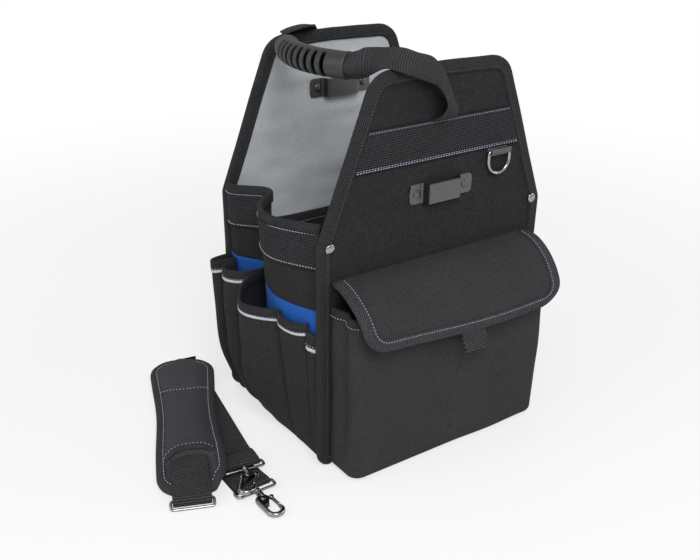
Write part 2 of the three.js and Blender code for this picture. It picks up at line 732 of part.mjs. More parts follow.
function buildFlap() {
  const curve = flapCurve();
  const length = curve.getLength();
  const cornerStart = length - FLAP_CORNER;
  const angles = spread(0, Math.PI / 2, 6);
  const round = angles.slice(1).map((a) => cornerStart + FLAP_CORNER * Math.sin(a));
  const distances = [...spread(0, cornerStart, 8), ...round];
  const rowAt = (distance, outer, inner) => {
    const at = curve.getPointAt(Math.min(distance / length, 1));
    return spread(outer, inner, 6).map((x) => vector(x, at.y, at.z));
  };
  const rows = distances.map((d) => rowAt(d, -flapHalfWidth(d, length), flapHalfWidth(d, length)));
  add("front_flap", sheet(rows, -FLAP_THICKNESS), CLOTH);

  const corner = angles.map((a) => {
    return [FLAP_CORNER * (1 - Math.cos(a)), cornerStart + FLAP_CORNER * Math.sin(a)];
  });
  const side = spread(FLAP_TAPE / 2, cornerStart, 6).slice(0, -1).map((d) => [0, d]);
  const half = FRONT_POCKET_WIDTH / 2;
  const leftEdge = [...side, ...corner].map(([inset, d]) => [-half + inset, d]);
  const lowerEdge = spread(-half + FLAP_CORNER, half - FLAP_CORNER, 8).slice(1, -1).map((x) => [x, length]);
  const rightEdge = leftEdge.map(([x, d]) => [-x, d]).reverse();
  const edge = [...leftEdge, ...lowerEdge, ...rightEdge];
  const tapeRows = edge.map(([x, d], i) => {
    const [bx, bd] = edge[Math.max(i - 1, 0)];
    const [ax, ad] = edge[Math.min(i + 1, edge.length - 1)];
    const along = new THREE.Vector2(ax - bx, ad - bd).normalize();
    return spread(0, FLAP_TAPE, 2).map((step) => {
      const at = curve.getPointAt(THREE.MathUtils.clamp((d - along.x * step) / length, 0, 1));
      return vector(x + along.y * step, at.y, at.z);
    });
  });
  const raised = offsetRows(tapeRows, GAP + FLAP_TAPE_THICKNESS);
  add("flap_edge_tape", sheet(raised, -FLAP_TAPE_THICKNESS), TAPE);

  const end = curve.getPointAt(1);
  const tab = new THREE.BoxGeometry(TAB_WIDTH, TAB_THICKNESS, TAB_LENGTH);
  const mesh = add("flap_pull_tab", tab, WEBBING);
  mesh.position.set(TAB_OFFSET, end.y + FLAP_THICKNESS / 2, end.z - 2 * GAP - TAB_LENGTH / 2);
}

// The grip's centre line, a shallow arc bowed to the left
function gripPoint(t) {
  const half = GRIP_LENGTH / 2;
  const radius = (half ** 2 + GRIP_BOW ** 2) / (2 * GRIP_BOW);
  const angle = lerp(-1, 1, t) * Math.asin(half / radius);
  const x = HANDLE_X - GRIP_REACH - radius * Math.cos(angle) + radius - GRIP_BOW;
  const y = radius * Math.sin(angle);
  return vector(x, y * Math.cos(GRIP_TILT), HANDLE_AXIS_HEIGHT - GRIP_DROP + y * Math.sin(GRIP_TILT));
}

// A point of the webbing on a gable: across from the handle's middle, out from the gable, up from its top
function onGable(sign, [across, out, up]) {
  return vector(HANDLE_X + across, sign * (OUTER_FACE + out), HEIGHT + up);
}

// The webbing's last stretch, which curls into a sleeve round the end of the grip
function gripSleeve(sign) {
  const t = sign < 0 ? 0 : 1;
  const end = gripPoint(t);
  const along = gripPoint(t + sign * 0.01).sub(end).normalize();
  const out = vector(0, 0, sign).cross(along).normalize();
  const up = vector(0, 0, 1);
  return SLEEVE_STEPS.map(({ distance, height, bulge, open }) => {
    const lower = sign > 0 ? (REAR_ARM_DROP * distance) / SLEEVE_STEPS[0].distance : 0;
    const centre = end.clone().addScaledVector(along, distance);
    const low = centre.clone().addScaledVector(up, -height).addScaledVector(out, -open);
    const middle = centre.clone().addScaledVector(out, bulge);
    const high = centre.clone().addScaledVector(up, height - lower).addScaledVector(out, -open);
    return [low, middle, high];
  });
}

// Rows of points across the handle's webbing, from the strip on the gable to the grip
function handleRows(sign) {
  const onStrip = STRIP_FOOT + STRIP_HEIGHT + GAP - HEIGHT;
  const flat = PANEL_OUTER + GAP + HANDLE_WEB_THICKNESS - OUTER_FACE;
  const root = [-0.5, 0, 0.5].map((share) => {
    return [share * HANDLE_WEB_WIDTH + HANDLE_ROOT_OFFSET, flat, onStrip];
  });
  const drop = sign > 0 ? REAR_ARM_DROP : 0;
  const last = HANDLE_ROUTE.length - 1;
  const route = HANDLE_ROUTE.map(([left, middle, [across, out, up]], i) => {
    const lower = drop * Math.max(2 * (i / last) - 1, 0);
    return [left, middle, [across, out, up - lower]];
  });
  const stations = [root, ...route].map((station) => station.map((point) => onGable(sign, point)));
  const all = [...stations, ...gripSleeve(sign)];
  const edges = [0, 1, 2].map((i) => new THREE.CatmullRomCurve3(all.map((station) => station[i])));
  return spread(0, 1, HANDLE_ROWS).map((t) => {
    const [left, middle, right] = edges.map((edge) => edge.getPoint(t));
    return spread(0, 1, 5).map((u) => {
      const point = left.clone().multiplyScalar((1 - u) * (1 - 2 * u));
      return point.addScaledVector(middle, 4 * u * (1 - u)).addScaledVector(right, u * (2 * u - 1));
    });
  });
}

// The webbing in two pieces: one stays on the gable, one turns with the grip
function buildHandleWebbing(name, sign) {
  const rows = handleRows(sign);
  const fixed = rows.slice(0, HANDLE_FOLD_ROW + 1);
  const next = rows[HANDLE_FOLD_ROW + 1];
  const moving = rows.slice(HANDLE_FOLD_ROW);
  moving[0] = moving[0].map((point, i) => point.clone().add(next[i].clone().sub(point).setLength(2 * GAP)));
  add(`${name}_handle_strap`, sheet(fixed, sign * HANDLE_WEB_THICKNESS), WEBBING);
  add(`${name}_handle_arm`, sheet(moving, sign * HANDLE_WEB_THICKNESS), WEBBING);
}

// The grip's radius along its length: smooth collars with rounded lips, and ribs between them
function gripProfile() {
  const ribbed = GRIP_LENGTH - 2 * GRIP_COLLAR;
  const pitch = ribbed / GRIP_RIBS;
  const lip = [
    [0, GRIP_RADIUS - GRIP_LIP],
    [0.6, GRIP_RADIUS - 0.6],
    [GRIP_LIP, GRIP_RADIUS],
  ];
  const stations = [...lip];
  for (let i = 0; i <= GRIP_RIBS; i++) {
    const middle = GRIP_COLLAR + i * pitch;
    const half = pitch * 0.22;
    stations.push([middle - half * 1.35, GRIP_RADIUS], [middle - half, GRIP_RADIUS - RIB_GROOVE]);
    stations.push([middle + half, GRIP_RADIUS - RIB_GROOVE], [middle + half * 1.35, GRIP_RADIUS]);
  }
  const far = lip.map(([at, radius]) => [GRIP_LENGTH - at, radius]).reverse();
  return [...stations, ...far];
}

function buildGrip() {
  const rings = gripProfile().map(([distance, radius]) => {
    const t = distance / GRIP_LENGTH;
    const centre = gripPoint(t);
    const along = gripPoint(t + 0.01).sub(gripPoint(t - 0.01)).normalize();
    const out = vector(0, 0, 1).cross(along).normalize();
    const up = along.clone().cross(out);
    return spread(0, 2 * Math.PI, 16).slice(0, -1).map((angle) => {
      const point = centre.clone().addScaledVector(out, radius * Math.cos(angle));
      return point.addScaledVector(up, radius * Math.sin(angle));
    });
  });
  add("handle_grip", loft(rings), RUBBER);
}

// Half the pad's width at a place along it, with its rounded ends
function padHalfWidth(y) {
  const half = PAD_LENGTH / 2;
  const waist = through([
    [-half, PAD_FOOT_WIDTH / 2],
    [-half * 0.5, PAD_FOOT_WIDTH / 2],
    [half * 0.1, PAD_WAIST_WIDTH / 2],
    [half * 0.75, PAD_END_WIDTH / 2],
    [half, PAD_END_WIDTH / 2],
  ]);
  const past = Math.max(Math.abs(y) - (half - PAD_CORNER), 0);
  return waist(y) - (PAD_CORNER - Math.sqrt(PAD_CORNER ** 2 - past ** 2));
}

// Height of the pad's top face: a bound edge, a low seat for the webbing and a raised, sewn cover
function padHeight(x, y) {
  const edge = padHalfWidth(y) - Math.abs(x);
  const seat = PAD_EDGE - 1.2 * THREE.MathUtils.smoothstep(edge, PAD_BINDING - 2, PAD_BINDING);
  const covered = THREE.MathUtils.smoothstep(y, PAD_COVER_START - 1, PAD_COVER_START + 1);
  const stitch = Math.exp(-(((y - PAD_COVER_STITCH) / 4) ** 2));
  const ends = THREE.MathUtils.smoothstep(PAD_LENGTH / 2 - y, 2, 40);
  const swell = Math.sqrt(THREE.MathUtils.smoothstep(edge, PAD_BINDING - 3, PAD_BINDING + 16));
  const crown = PAD_CROWN * swell * (0.45 + 0.55 * ends) * (1 - 0.55 * stitch);
  return seat + covered * (crown + STRAP_THICKNESS + 2 * GAP);
}

// The pad's front right corner rides up over the end of the webbing and the first hook's eye
function padLift(x, y) {
  const edge = PAD_STRAP_OFFSET + STRAP_WIDTH / 2;
  const outwards = THREE.MathUtils.smoothstep(x, edge + 5, edge + 12);
  return PAD_LIFT * outwards * THREE.MathUtils.smoothstep(-y, 30, 75);
}

function buildPad(parent) {
  const half = PAD_LENGTH / 2;
  const bottom = (x, y) => 2 * STRAP_THICKNESS + 2 * GAP + padLift(x, y);
  const ends = spread(0, Math.PI / 2, 5).map((a) => half - PAD_CORNER + PAD_CORNER * Math.sin(a));
  const cover = [-1.5, -0.3, 0.3, 1.5].map((step) => PAD_COVER_START + step);
  const seat = spread(-half + PAD_CORNER, PAD_COVER_START - 6, 2);
  const middle = spread(PAD_COVER_START + 16, PAD_COVER_STITCH - 16, 5);
  const stitch = [-6, 0, 6, 25].map((step) => PAD_COVER_STITCH + step);
  const front = ends.map((y) => -y).reverse().slice(0, -1);
  const places = [...front, ...seat, ...cover, ...middle, ...stitch, ...ends];
  const low = places.map((y) => {
    const reach = Math.max(padHalfWidth(y), 1);
    return spread(-1, 1, 14).map((u) => vector(u * reach, y, bottom(u * reach, y)));
  });
  const top = low.map((row) => row.map(({ x, y, z }) => vector(x, y, z + padHeight(x, y))));
  add("shoulder_pad", slab(top, low), CLOTH, parent);
}

// Stations of strap webbing along points of one upright plane, from a start point in a direction
function strapStations(origin, direction, profile) {
  const across = vector(-direction.y, direction.x, 0).normalize();
  const along = direction.clone().normalize();
  return profile.map(([distance, z]) => ({
    at: origin.clone().addScaledVector(along, distance).setZ(z),
    across,
    width: STRAP_WIDTH,
  }));
}

// Points of webbing that turns back round a bar: an arc from one layer to the other, bulging forwards
function foldArc(centre, z, radius, from, to, steps = 8) {
  return spread(from, to, steps).map((a) => [centre + radius * Math.cos(a), z + radius * Math.sin(a)]);
}

const EYE_FOLD = EYE_WIRE / 2 + GAP + STRAP_THICKNESS / 2;

// A place of the turned pad, across and along it
function onPad(x, y) {
  return vector(x, y, 0).applyAxisAngle(vector(0, 0, 1), PAD_ANGLE);
}

// The webbing from the pad's far end, folded under it, to the first hook
function buildStrapRun(parent) {
  const padEnd = onPad(0, PAD_LENGTH / 2 + STRAP_TURN_SLACK);
  const eye = vector(HOOK_ONE.x, HOOK_ONE.y, 0);
  const direction = eye.clone().sub(padEnd);
  const length = direction.length();
  const layer = 1.5 * STRAP_THICKNESS + GAP;
  const top = 2 * STRAP_THICKNESS + 2 * GAP + PAD_EDGE * 0.6;
  const turn = (top - layer) / 2;
  const start = foldArc(-turn * 0.2, layer + turn, turn, Math.PI / 2, (3 * Math.PI) / 2, 8);
  const low = HOOK_ONE.z - EYE_FOLD;
  const fold = foldArc(length, HOOK_ONE.z, EYE_FOLD, -Math.PI / 2, Math.PI / 2);
  const lap = [[length - 12, HOOK_ONE.z + EYE_FOLD - 1], [length - 22, low + STRAP_THICKNESS + GAP]];
  const rise = [[length - 36, layer], [length - 22, (layer + low) / 2], [length - 8, low]];
  const profile = [...start, ...rise, ...fold, ...lap];
  add("strap_run", ribbon(strapStations(padEnd, direction, profile), STRAP_THICKNESS), WEBBING, parent);
}

// The webbing that leaves the pad's cover, turns down through the ring and back under the pad to the
// second hook; its two straight runs meet in a flat fold under the pad
function buildStrapTail(parent) {
  const opening = onPad(PAD_STRAP_OFFSET, PAD_COVER_START - 1 - GAP);
  const foldPoint = vector(FOLD_POINT.x, FOLD_POINT.y, 0);
  const direction = onPad(0, -PAD_LENGTH);
  const seat = 2 * STRAP_THICKNESS + 2 * GAP + PAD_EDGE + GAP + STRAP_THICKNESS / 2;
  const low = STRAP_THICKNESS / 2;
  const turn = (seat - low) / 2;
  const reach = PAD_LENGTH / 2 + PAD_COVER_START + 4;
  const arc = foldArc(reach, low + turn, turn, Math.PI / 2, -Math.PI / 2);
  const back = [[reach - 30, low], [reach - PAD_LENGTH * 0.45, low]];
  const profile = [[0, seat], [reach / 2, seat], ...arc, ...back];
  const overPad = ribbon(strapStations(opening, direction, profile), STRAP_THICKNESS);

  const eye = vector(HOOK_TWO.x, HOOK_TWO.y, 0);
  const run = eye.clone().sub(foldPoint);
  const length = run.length();
  const fold = foldArc(length, HOOK_TWO.z, EYE_FOLD, -Math.PI / 2, Math.PI / 2);
  const lap = [[length - 10, HOOK_TWO.z + EYE_FOLD - 1.6], [length - 26, 1.5 * STRAP_THICKNESS + GAP]];
  const under = [[0, low], [length - 14, low], ...fold, ...lap];
  const toHook = ribbon(strapStations(foldPoint, run, under), STRAP_THICKNESS);
  add("strap_tail", join(overPad, toHook), WEBBING, parent);
}

// A rectangular wire eye with rounded corners: the rear bar on the X axis, the front bar towards -Y
function eyePath(span) {
  const half = (STRAP_WIDTH + EYE_SLACK + EYE_WIRE) / 2;
  const corners = [[-half, 0], [-half, -span], [half, -span], [half, 0]];
  return roundCorners(corners, EYE_CORNER, 30);
}

// The hook's flat outline: a shank that widens to the gate's pivot, a straight spine and a round bow
// that comes back up to the nose
function hookOutline(start) {
  const bowY = start - HOOK_LENGTH + HOOK_RADIUS;
  const inner = HOOK_RADIUS - HOOK_WIRE;
  const arc = (radius, from, to, steps) =>
    spread(from, to, steps).map((a) => [radius * Math.cos(a), bowY + radius * Math.sin(a)]);
  const mouthTop = start - HOOK_LENGTH * 0.33;
  return [
    [-HOOK_BARREL, start],
    [-HOOK_RADIUS, start - 5],
    ...arc(HOOK_RADIUS, Math.PI, 2 * Math.PI + 0.35, 12),
    ...arc(inner, 2 * Math.PI + 0.35, Math.PI, 9),
    [-inner, mouthTop + 1],
    [-inner + 2, mouthTop],
    [GATE_WIDTH, mouthTop],
    [HOOK_RADIUS - GATE_WIDTH - GAP - 1, mouthTop + 3],
    [HOOK_RADIUS - GATE_WIDTH - GAP - 1, start - 3.4],
    [HOOK_BARREL, start],
  ];
}

function buildSnapHook(name, place, parent) {
  const frame = new THREE.Group();
  frame.position.set(place.x, place.y, place.z);
  frame.rotation.set(-place.pitch, 0, place.turn, "ZYX");
  parent.add(frame);

  const collar = new THREE.CylinderGeometry(HOOK_BARREL, HOOK_BARREL, EYE_WIRE + 1.2, 16);
  const bore = new THREE.CylinderGeometry(HOOK_BARREL * 0.5, HOOK_BARREL * 0.5, EYE_WIRE * 3, 16);
  const boss = cut(collar.translate(0, -EYE_SPAN, 0), bore.translate(0, -EYE_SPAN, 0));
  const wire = cut(wireLoop(eyePath(EYE_SPAN), EYE_WIRE), bore);
  add(`${name}_eye`, join(wire, boss), CHROME, frame);

  const stemRadius = HOOK_BARREL * 0.5 - GAP;
  const bossHalf = (EYE_WIRE + 1.2) / 2;
  const headAt = -EYE_SPAN + bossHalf + GAP;
  const start = -EYE_SPAN - bossHalf - GAP - HOOK_BARREL_LENGTH;
  const lathe = [
    [0, headAt + 1.2],
    [HOOK_BARREL * 0.75, headAt + 1.2],
    [HOOK_BARREL * 0.75, headAt],
    [stemRadius, headAt],
    [stemRadius, -EYE_SPAN - bossHalf - GAP],
    [HOOK_BARREL, -EYE_SPAN - bossHalf - GAP],
    [HOOK_BARREL, start - 2],
    [0, start - 2],
  ];
  const swivel = new THREE.LatheGeometry(lathe.map(([r, y]) => new THREE.Vector2(r, y)).reverse(), 16);
  const blade = plate(hookOutline(start), -HOOK_THICKNESS / 2, HOOK_THICKNESS);
  const pivotX = HOOK_RADIUS - GATE_WIDTH / 2;
  const pivotY = start - 5.2;
  const knuckle = new THREE.CylinderGeometry(2.6, 2.6, HOOK_THICKNESS, 14).rotateX(Math.PI / 2);
  const clearance = knuckle.clone().scale(1.15, 1.15, 2).translate(pivotX, pivotY, 0);
  add(`${name}_body`, join(swivel, cut(blade, clearance)), CHROME, frame);

  const noseY = start - HOOK_LENGTH + HOOK_RADIUS + HOOK_RADIUS * Math.sin(0.35);
  const leverLength = pivotY - noseY - 2.4 * GAP;
  const lever = new THREE.BoxGeometry(GATE_WIDTH, leverLength, HOOK_THICKNESS * 0.7);
  lever.translate(pivotX, pivotY - leverLength / 2, 0);
  const gate = join(lever, knuckle.clone().translate(pivotX, pivotY, 0));
  add(`${name}_gate`, gate, CHROME, frame);
}

function buildStrap() {
  const strap = new THREE.Group();
  strap.position.set(PAD_X, PAD_Y, 0);
  bag.add(strap);
  const padFrame = new THREE.Group();
  padFrame.rotation.z = PAD_ANGLE;
  strap.add(padFrame);
  buildPad(padFrame);
  buildStrapRun(strap);
  buildStrapTail(strap);

  const seat = 2 * STRAP_THICKNESS + 2 * GAP + PAD_EDGE + GAP + STRAP_THICKNESS / 2;
  const turn = (seat - STRAP_THICKNESS / 2) / 2;
  const apex = PAD_LENGTH / 2 + 3 - GAP + turn - STRAP_THICKNESS / 2;
  const link = add("strap_ring", wireLoop(eyePath(LINK_SPAN), EYE_WIRE), CHROME, padFrame);
  const barHeight = STRAP_THICKNESS / 2 + turn;
  link.position.set(PAD_STRAP_OFFSET, -(apex - EYE_WIRE / 2 - 2 * GAP), barHeight);
  link.rotation.x = Math.asin((barHeight - EYE_WIRE / 2) / LINK_SPAN);

  buildSnapHook("hook_1", HOOK_ONE, strap);
  buildSnapHook("hook_2", HOOK_TWO, strap);
}

const front = new THREE.Group();
const rear = new THREE.Group();
rear.rotation.z = Math.PI;
bag.add(front, rear);
for (const [name, parent] of [["front", front], ["rear", rear]]) {
  buildGable(name, parent);
  buildStrip(name, parent);
  buildShoulderRivets(name, parent);
  buildRing(name, parent);
}
buildBase();
for (const [side, sign] of [["left", -1], ["right", 1]]) {
  buildSideWall(side, sign);
  buildSidePockets(side, sign);
}
buildInnerPocket();
buildFrontPocket();
buildFlap();
buildClips();
for (const [name, sign] of [["front", -1], ["rear", 1]]) {
  buildHandleWebbing(name, sign);
}
buildGrip();
buildStrap();

export default bag;
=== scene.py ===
import math

import bmesh
import bpy
import numpy as np
from mathutils import Matrix, Vector
from mathutils.bvhtree import BVHTree
from mathutils.noise import noise


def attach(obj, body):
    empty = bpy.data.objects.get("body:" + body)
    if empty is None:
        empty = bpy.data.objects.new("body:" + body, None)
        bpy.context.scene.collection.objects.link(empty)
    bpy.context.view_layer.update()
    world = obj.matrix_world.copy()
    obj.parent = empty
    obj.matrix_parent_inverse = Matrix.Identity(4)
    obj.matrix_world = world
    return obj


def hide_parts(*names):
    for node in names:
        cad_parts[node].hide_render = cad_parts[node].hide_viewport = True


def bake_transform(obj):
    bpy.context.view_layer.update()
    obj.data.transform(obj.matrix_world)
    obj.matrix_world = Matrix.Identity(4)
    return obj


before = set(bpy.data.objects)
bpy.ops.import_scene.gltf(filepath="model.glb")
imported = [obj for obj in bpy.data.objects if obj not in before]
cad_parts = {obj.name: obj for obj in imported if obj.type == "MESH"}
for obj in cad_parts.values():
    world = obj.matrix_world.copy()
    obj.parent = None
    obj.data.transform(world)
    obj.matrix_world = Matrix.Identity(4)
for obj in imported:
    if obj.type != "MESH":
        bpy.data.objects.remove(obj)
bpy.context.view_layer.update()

# Lengths below are millimetres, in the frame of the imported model
MM = 0.001
UP = np.array((0.0, 0.0, 1.0))
GAP = 0.3

# The bag's own sizes, as in the solids
WIDTH = 270.0
HEIGHT = 392.0
HALF_DEPTH = 95.0
SHOULDER = 238.0
TOP_HALF = 77.0
TOP_CROWN = 2.0
PANEL_OUTER = 93.5
LINING_OUTER = 90.0
LINING_INNER = 89.2
INSIDE = 87.4
TAPE_WIDTH = 13.0
STRIP_FOOT = 301.5
STRIP_TOP = 339.5
WALL_FOOT = 124.0
LINER_TOP = 170.0
HANDLE_X = 1.0
PANEL_CLOTH = 3.2
LINING_CLOTH = 0.8
WALL_CLOTH = 2.2
POCKET_CLOTH = 1.6
WEBBING = 1.6
PAD_X, PAD_Y, PAD_ANGLE = -213.0, 46.0, math.radians(-21.8)


# Curves and surfaces

def lerp(a, b, t):
    return a + (b - a) * t


def smoothstep(x, low, high):
    t = np.clip((np.asarray(x, float) - low) / (high - low), 0, 1)
    return t * t * (3 - 2 * t)


def unit(vectors):
    vectors = np.asarray(vectors, float)
    length = np.linalg.norm(vectors, axis=-1, keepdims=True)
    return vectors / np.maximum(length, 1e-9)


def spun(vectors, angle):
    """Vectors turned about +Z."""
    c, s = math.cos(angle), math.sin(angle)
    x, y, z = np.moveaxis(np.asarray(vectors, float), -1, 0)
    return np.stack((c * x - s * y, s * x + c * y, z), axis=-1)


def through(pairs):
    """A smooth function through [position, value] pairs."""
    places, values = zip(*pairs)

    def slope(i):
        a, b = max(i - 1, 0), min(i + 1, len(pairs) - 1)
        return (values[b] - values[a]) / (places[b] - places[a])

    def at(where):
        t = min(max(where, places[0]), places[-1])
        i = max(next(k for k, p in enumerate(places) if p >= t) - 1, 0)
        span = places[i + 1] - places[i]
        s = (t - places[i]) / span
        start = values[i] * (1 + 2 * s) * (1 - s) ** 2 + slope(i) * span * s * (1 - s) ** 2
        end = values[i + 1] * s * s * (3 - 2 * s) + slope(i + 1) * span * s * s * (s - 1)
        return start + end

    return np.vectorize(at, otypes=[float])


def spline(points, params):
    """Points on the centripetal Catmull-Rom curve through points, at params from 0 to 1."""
    points = np.asarray(points, float)
    spans = len(points) - 1
    points = np.vstack((2 * points[0] - points[1], points, 2 * points[-1] - points[-2]))
    found = []
    for t in params:
        i = min(int(t * spans), spans - 1)
        w = t * spans - i
        p0, p1, p2, p3 = points[i:i + 4]
        d0, d1, d2 = (max(np.linalg.norm(b - a), 1e-4) ** 0.5 for a, b in ((p0, p1), (p1, p2), (p2, p3)))
        m1 = ((p1 - p0) / d0 - (p2 - p0) / (d0 + d1) + (p2 - p1) / d1) * d1
        m2 = ((p2 - p1) / d1 - (p3 - p1) / (d1 + d2) + (p3 - p2) / d2) * d1
        start = p1 * (1 + 2 * w) * (1 - w) ** 2 + m1 * w * (1 - w) ** 2
        found.append(start + p2 * w * w * (3 - 2 * w) + m2 * w * w * (w - 1))
    return np.array(found)


def lengths(path):
    """Distance along a path to each of its points."""
    steps = np.linalg.norm(np.diff(path, axis=0), axis=1)
    return np.concatenate(([0.0], np.cumsum(steps)))


def resample(path, distances, values=None):
    """Points of a path, or values that go with its points, at distances along it."""
    along = lengths(path)
    values = path if values is None else values
    return np.stack([np.interp(distances, along, column) for column in values.T], axis=1)


def evenly(path, step):
    """Points along a path, about a step apart."""
    total = lengths(path)[-1]
    count = max(int(round(total / step)), 2)
    return resample(path, np.linspace(0, total, count + 1))


def rounded(corners, radii, closed=False, step=6):
    """A path of [x, y] corners with each one rounded to its own radius, in steps of so many degrees."""
    corners = [np.array(c, float) for c in corners]
    last = len(corners) - 1
    path = []
    for i, (here, radius) in enumerate(zip(corners, radii)):
        if radius <= 0 or (not closed and i in (0, last)):
            path.append(here)
            continue
        back = unit(corners[i - 1] - here)
        on = unit(corners[(i + 1) % len(corners)] - here)
        half = math.acos(float(np.clip(back @ on, -1, 1))) / 2
        centre = here + unit(back + on) * radius / math.sin(half)
        start = here + back * radius / math.tan(half) - centre
        end = here + on * radius / math.tan(half) - centre
        turn = math.atan2(start[0] * end[1] - start[1] * end[0], start @ end)
        count = max(int(math.ceil(abs(turn) / math.radians(step))), 1)
        for angle in np.linspace(0, turn, count + 1):
            c, s = math.cos(angle), math.sin(angle)
            path.append(centre + np.array((c * start[0] - s * start[1], s * start[0] + c * start[1])))
    return np.array(path)


def grid_of(x, y, z):
    """Rows of points from coordinates that spread over a net."""
    return np.stack(np.broadcast_arrays(x, y, z), axis=-1)


def shares(count):
    """Shares from 0 to 1 of so many rows."""
    return np.linspace(0, 1, count)[:, None]


def normals_of(rows):
    return unit(np.cross(np.gradient(rows, axis=0), np.gradient(rows, axis=1)))


def moved(rows, distance):
    return rows + normals_of(rows) * distance


def ripple(rows, size, depth, seed=0.0):
    """Rows moved square to their surface by smooth noise, as cloth that doesn't lie quite flat."""
    offset = np.array([noise(Vector(p / size + seed)) for p in rows.reshape(-1, 3)])
    return moved(rows, (offset * depth).reshape(rows.shape[:2])[..., None])


def outward_sign(rows, inside):
    """1 where the normal at the middle of a surface points away from a point inside it, else -1."""
    n, m = rows.shape[0] // 2, rows.shape[1] // 2
    return 1.0 if normals_of(rows)[n, m] @ (rows[n, m] - np.array(inside, float)) > 0 else -1.0


# Pieces

def net(rows, columns, around=False, closed=False):
    """Faces of a net of points, which may close round its columns and after its last row."""
    grid = np.arange(rows * columns).reshape(rows, columns)
    if around:
        grid = np.concatenate((grid, grid[:, :1]), axis=1)
    if closed:
        grid = np.concatenate((grid, grid[:1]))
    corners = grid[:-1, :-1], grid[:-1, 1:], grid[1:, 1:], grid[1:, :-1]
    return np.stack([corner.ravel() for corner in corners], axis=1)


def rim_of(rows, columns):
    """The points round a net, in order."""
    grid = np.arange(rows * columns).reshape(rows, columns)
    return np.concatenate((grid[0], grid[1:, -1], grid[-1, -2::-1], grid[-2:0:-1, 0]))


def strip_between(a, b):
    """Faces between two closed rings of points."""
    return np.stack((a, np.roll(a, -1), np.roll(b, -1), b), axis=1)


def piece(name, vertices, faces, uvs, kind):
    """A mesh object from millimetre points, with its own lengths in millimetres as texture places."""
    mesh = bpy.data.meshes.new(name)
    mesh.from_pydata((np.asarray(vertices, float) * MM).tolist(), [], faces)
    shell = bmesh.new()
    shell.from_mesh(mesh)
    bmesh.ops.recalc_face_normals(shell, faces=shell.faces)
    shell.to_mesh(mesh)
    shell.free()
    layer = mesh.uv_layers.new(name="Cloth")
    corners = np.zeros(len(mesh.loops), int)
    mesh.loops.foreach_get("vertex_index", corners)
    layer.data.foreach_set("uv", (np.asarray(uvs, float)[corners] * MM).ravel())
    mesh.polygons.foreach_set("use_smooth", [True] * len(mesh.polygons))
    material, slot = FINISHES[kind]
    mesh.materials.append(material)
    obj = bpy.data.objects.new(name, mesh)
    bpy.context.scene.collection.objects.link(obj)
    return obj


def place(obj, body, *nodes):
    """The piece rides on a body and stands for CAD nodes."""
    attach(obj, body)
    if nodes:
        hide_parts(*nodes)
    return obj


def shade(obj, values):
    """Gives points of a mesh a painted shade, 0 to 1, where its material turns dark."""
    layer = obj.data.attributes.new("shade", "FLOAT", "POINT")
    layer.data.foreach_set("value", np.asarray(values, float).ravel())


def crisp(obj, degrees):
    """Keeps a piece's edges sharp where its faces meet at more than an angle."""
    obj.data.set_sharp_from_angle(angle=math.radians(degrees))


def cloth_places(rows):
    """Distances across and along a sheet of rows, for its weave."""
    across = np.mean([lengths(row) for row in rows], axis=0)
    along = np.mean([lengths(column) for column in rows.swapaxes(0, 1)], axis=0)
    return np.stack(np.meshgrid(across - across[-1] / 2, along), axis=-1).reshape(-1, 2)


# How far a sheet's rim stands out, as a share of its thickness
RIM_BULGE = 0.42


def sheet(name, rows, thickness, kind, inside=None):
    """A sheet with a soft rim between rows of points and the same rows moved by its thickness, which
    goes towards a point inside where one is given."""
    if inside is not None:
        thickness *= -outward_sign(rows, inside)
    n, m = rows.shape[:2]
    count = n * m
    front, back = rows.reshape(-1, 3), moved(rows, thickness).reshape(-1, 3)
    rim = rim_of(n, m)
    inner = np.clip(np.stack(np.divmod(rim, m), axis=1), 1, [n - 2, m - 2]) @ (m, 1)
    outwards = unit(front[rim] - front[inner])
    middle = (front[rim] + back[rim]) / 2 + outwards * abs(thickness) * RIM_BULGE
    ring = np.arange(len(rim)) + 2 * count
    quads = net(n, m)
    faces = (quads, quads[:, ::-1] + count, strip_between(rim, ring), strip_between(ring, rim + count))
    places = cloth_places(rows)
    uvs = np.concatenate((places, places, places[rim]))
    return piece(name, np.concatenate((front, back, middle)), np.concatenate(faces).tolist(), uvs, kind)


def sweep(name, path, sides, ups, section, kind, closed=False):
    """A solid whose section of [side, up] points follows a path; section may differ at each point."""
    path, section = np.asarray(path, float), np.asarray(section, float)
    section = np.broadcast_to(section, (len(path),) + section.shape[-2:])
    sides, ups = (np.broadcast_to(x, path.shape) for x in (sides, ups))
    rings = path[:, None] + section[..., :1] * sides[:, None] + section[..., 1:] * ups[:, None]
    n, m = rings.shape[:2]
    faces = net(n, m, around=True, closed=closed).tolist()
    if not closed:
        faces += [list(range(m)), list(range(n * m))[:-m - 1:-1]]
    around = lengths(np.concatenate((section[0], section[0][:1])))[:-1]
    uvs = np.stack(np.meshgrid(around, lengths(path)), axis=-1).reshape(-1, 2)
    return piece(name, rings.reshape(-1, 3), faces, uvs, kind)


def arc(radius, start, end, count, endpoint=True):
    """Points of a circle between two angles."""
    angles = np.linspace(start, end, count, endpoint=endpoint)
    return np.stack((np.cos(angles), np.sin(angles)), axis=1) * radius


def circle(radius, count=16):
    return arc(radius, 0, 2 * math.pi, count, endpoint=False)


def wire(name, path, diameter, kind, count=16):
    """A closed ring of round wire, whose section turns as little as it can along it."""
    tangents = unit(np.roll(path, -1, axis=0) - np.roll(path, 1, axis=0))
    up = unit(np.cross(tangents[0], (0.31, 0.17, 0.94)))
    ups = []
    for tangent in tangents:
        up = unit(up - tangent * (up @ tangent))
        ups.append(up)
    return sweep(name, path, np.cross(tangents, ups), ups, circle(diameter / 2, count), kind, closed=True)


LATHE_SIDES = 32


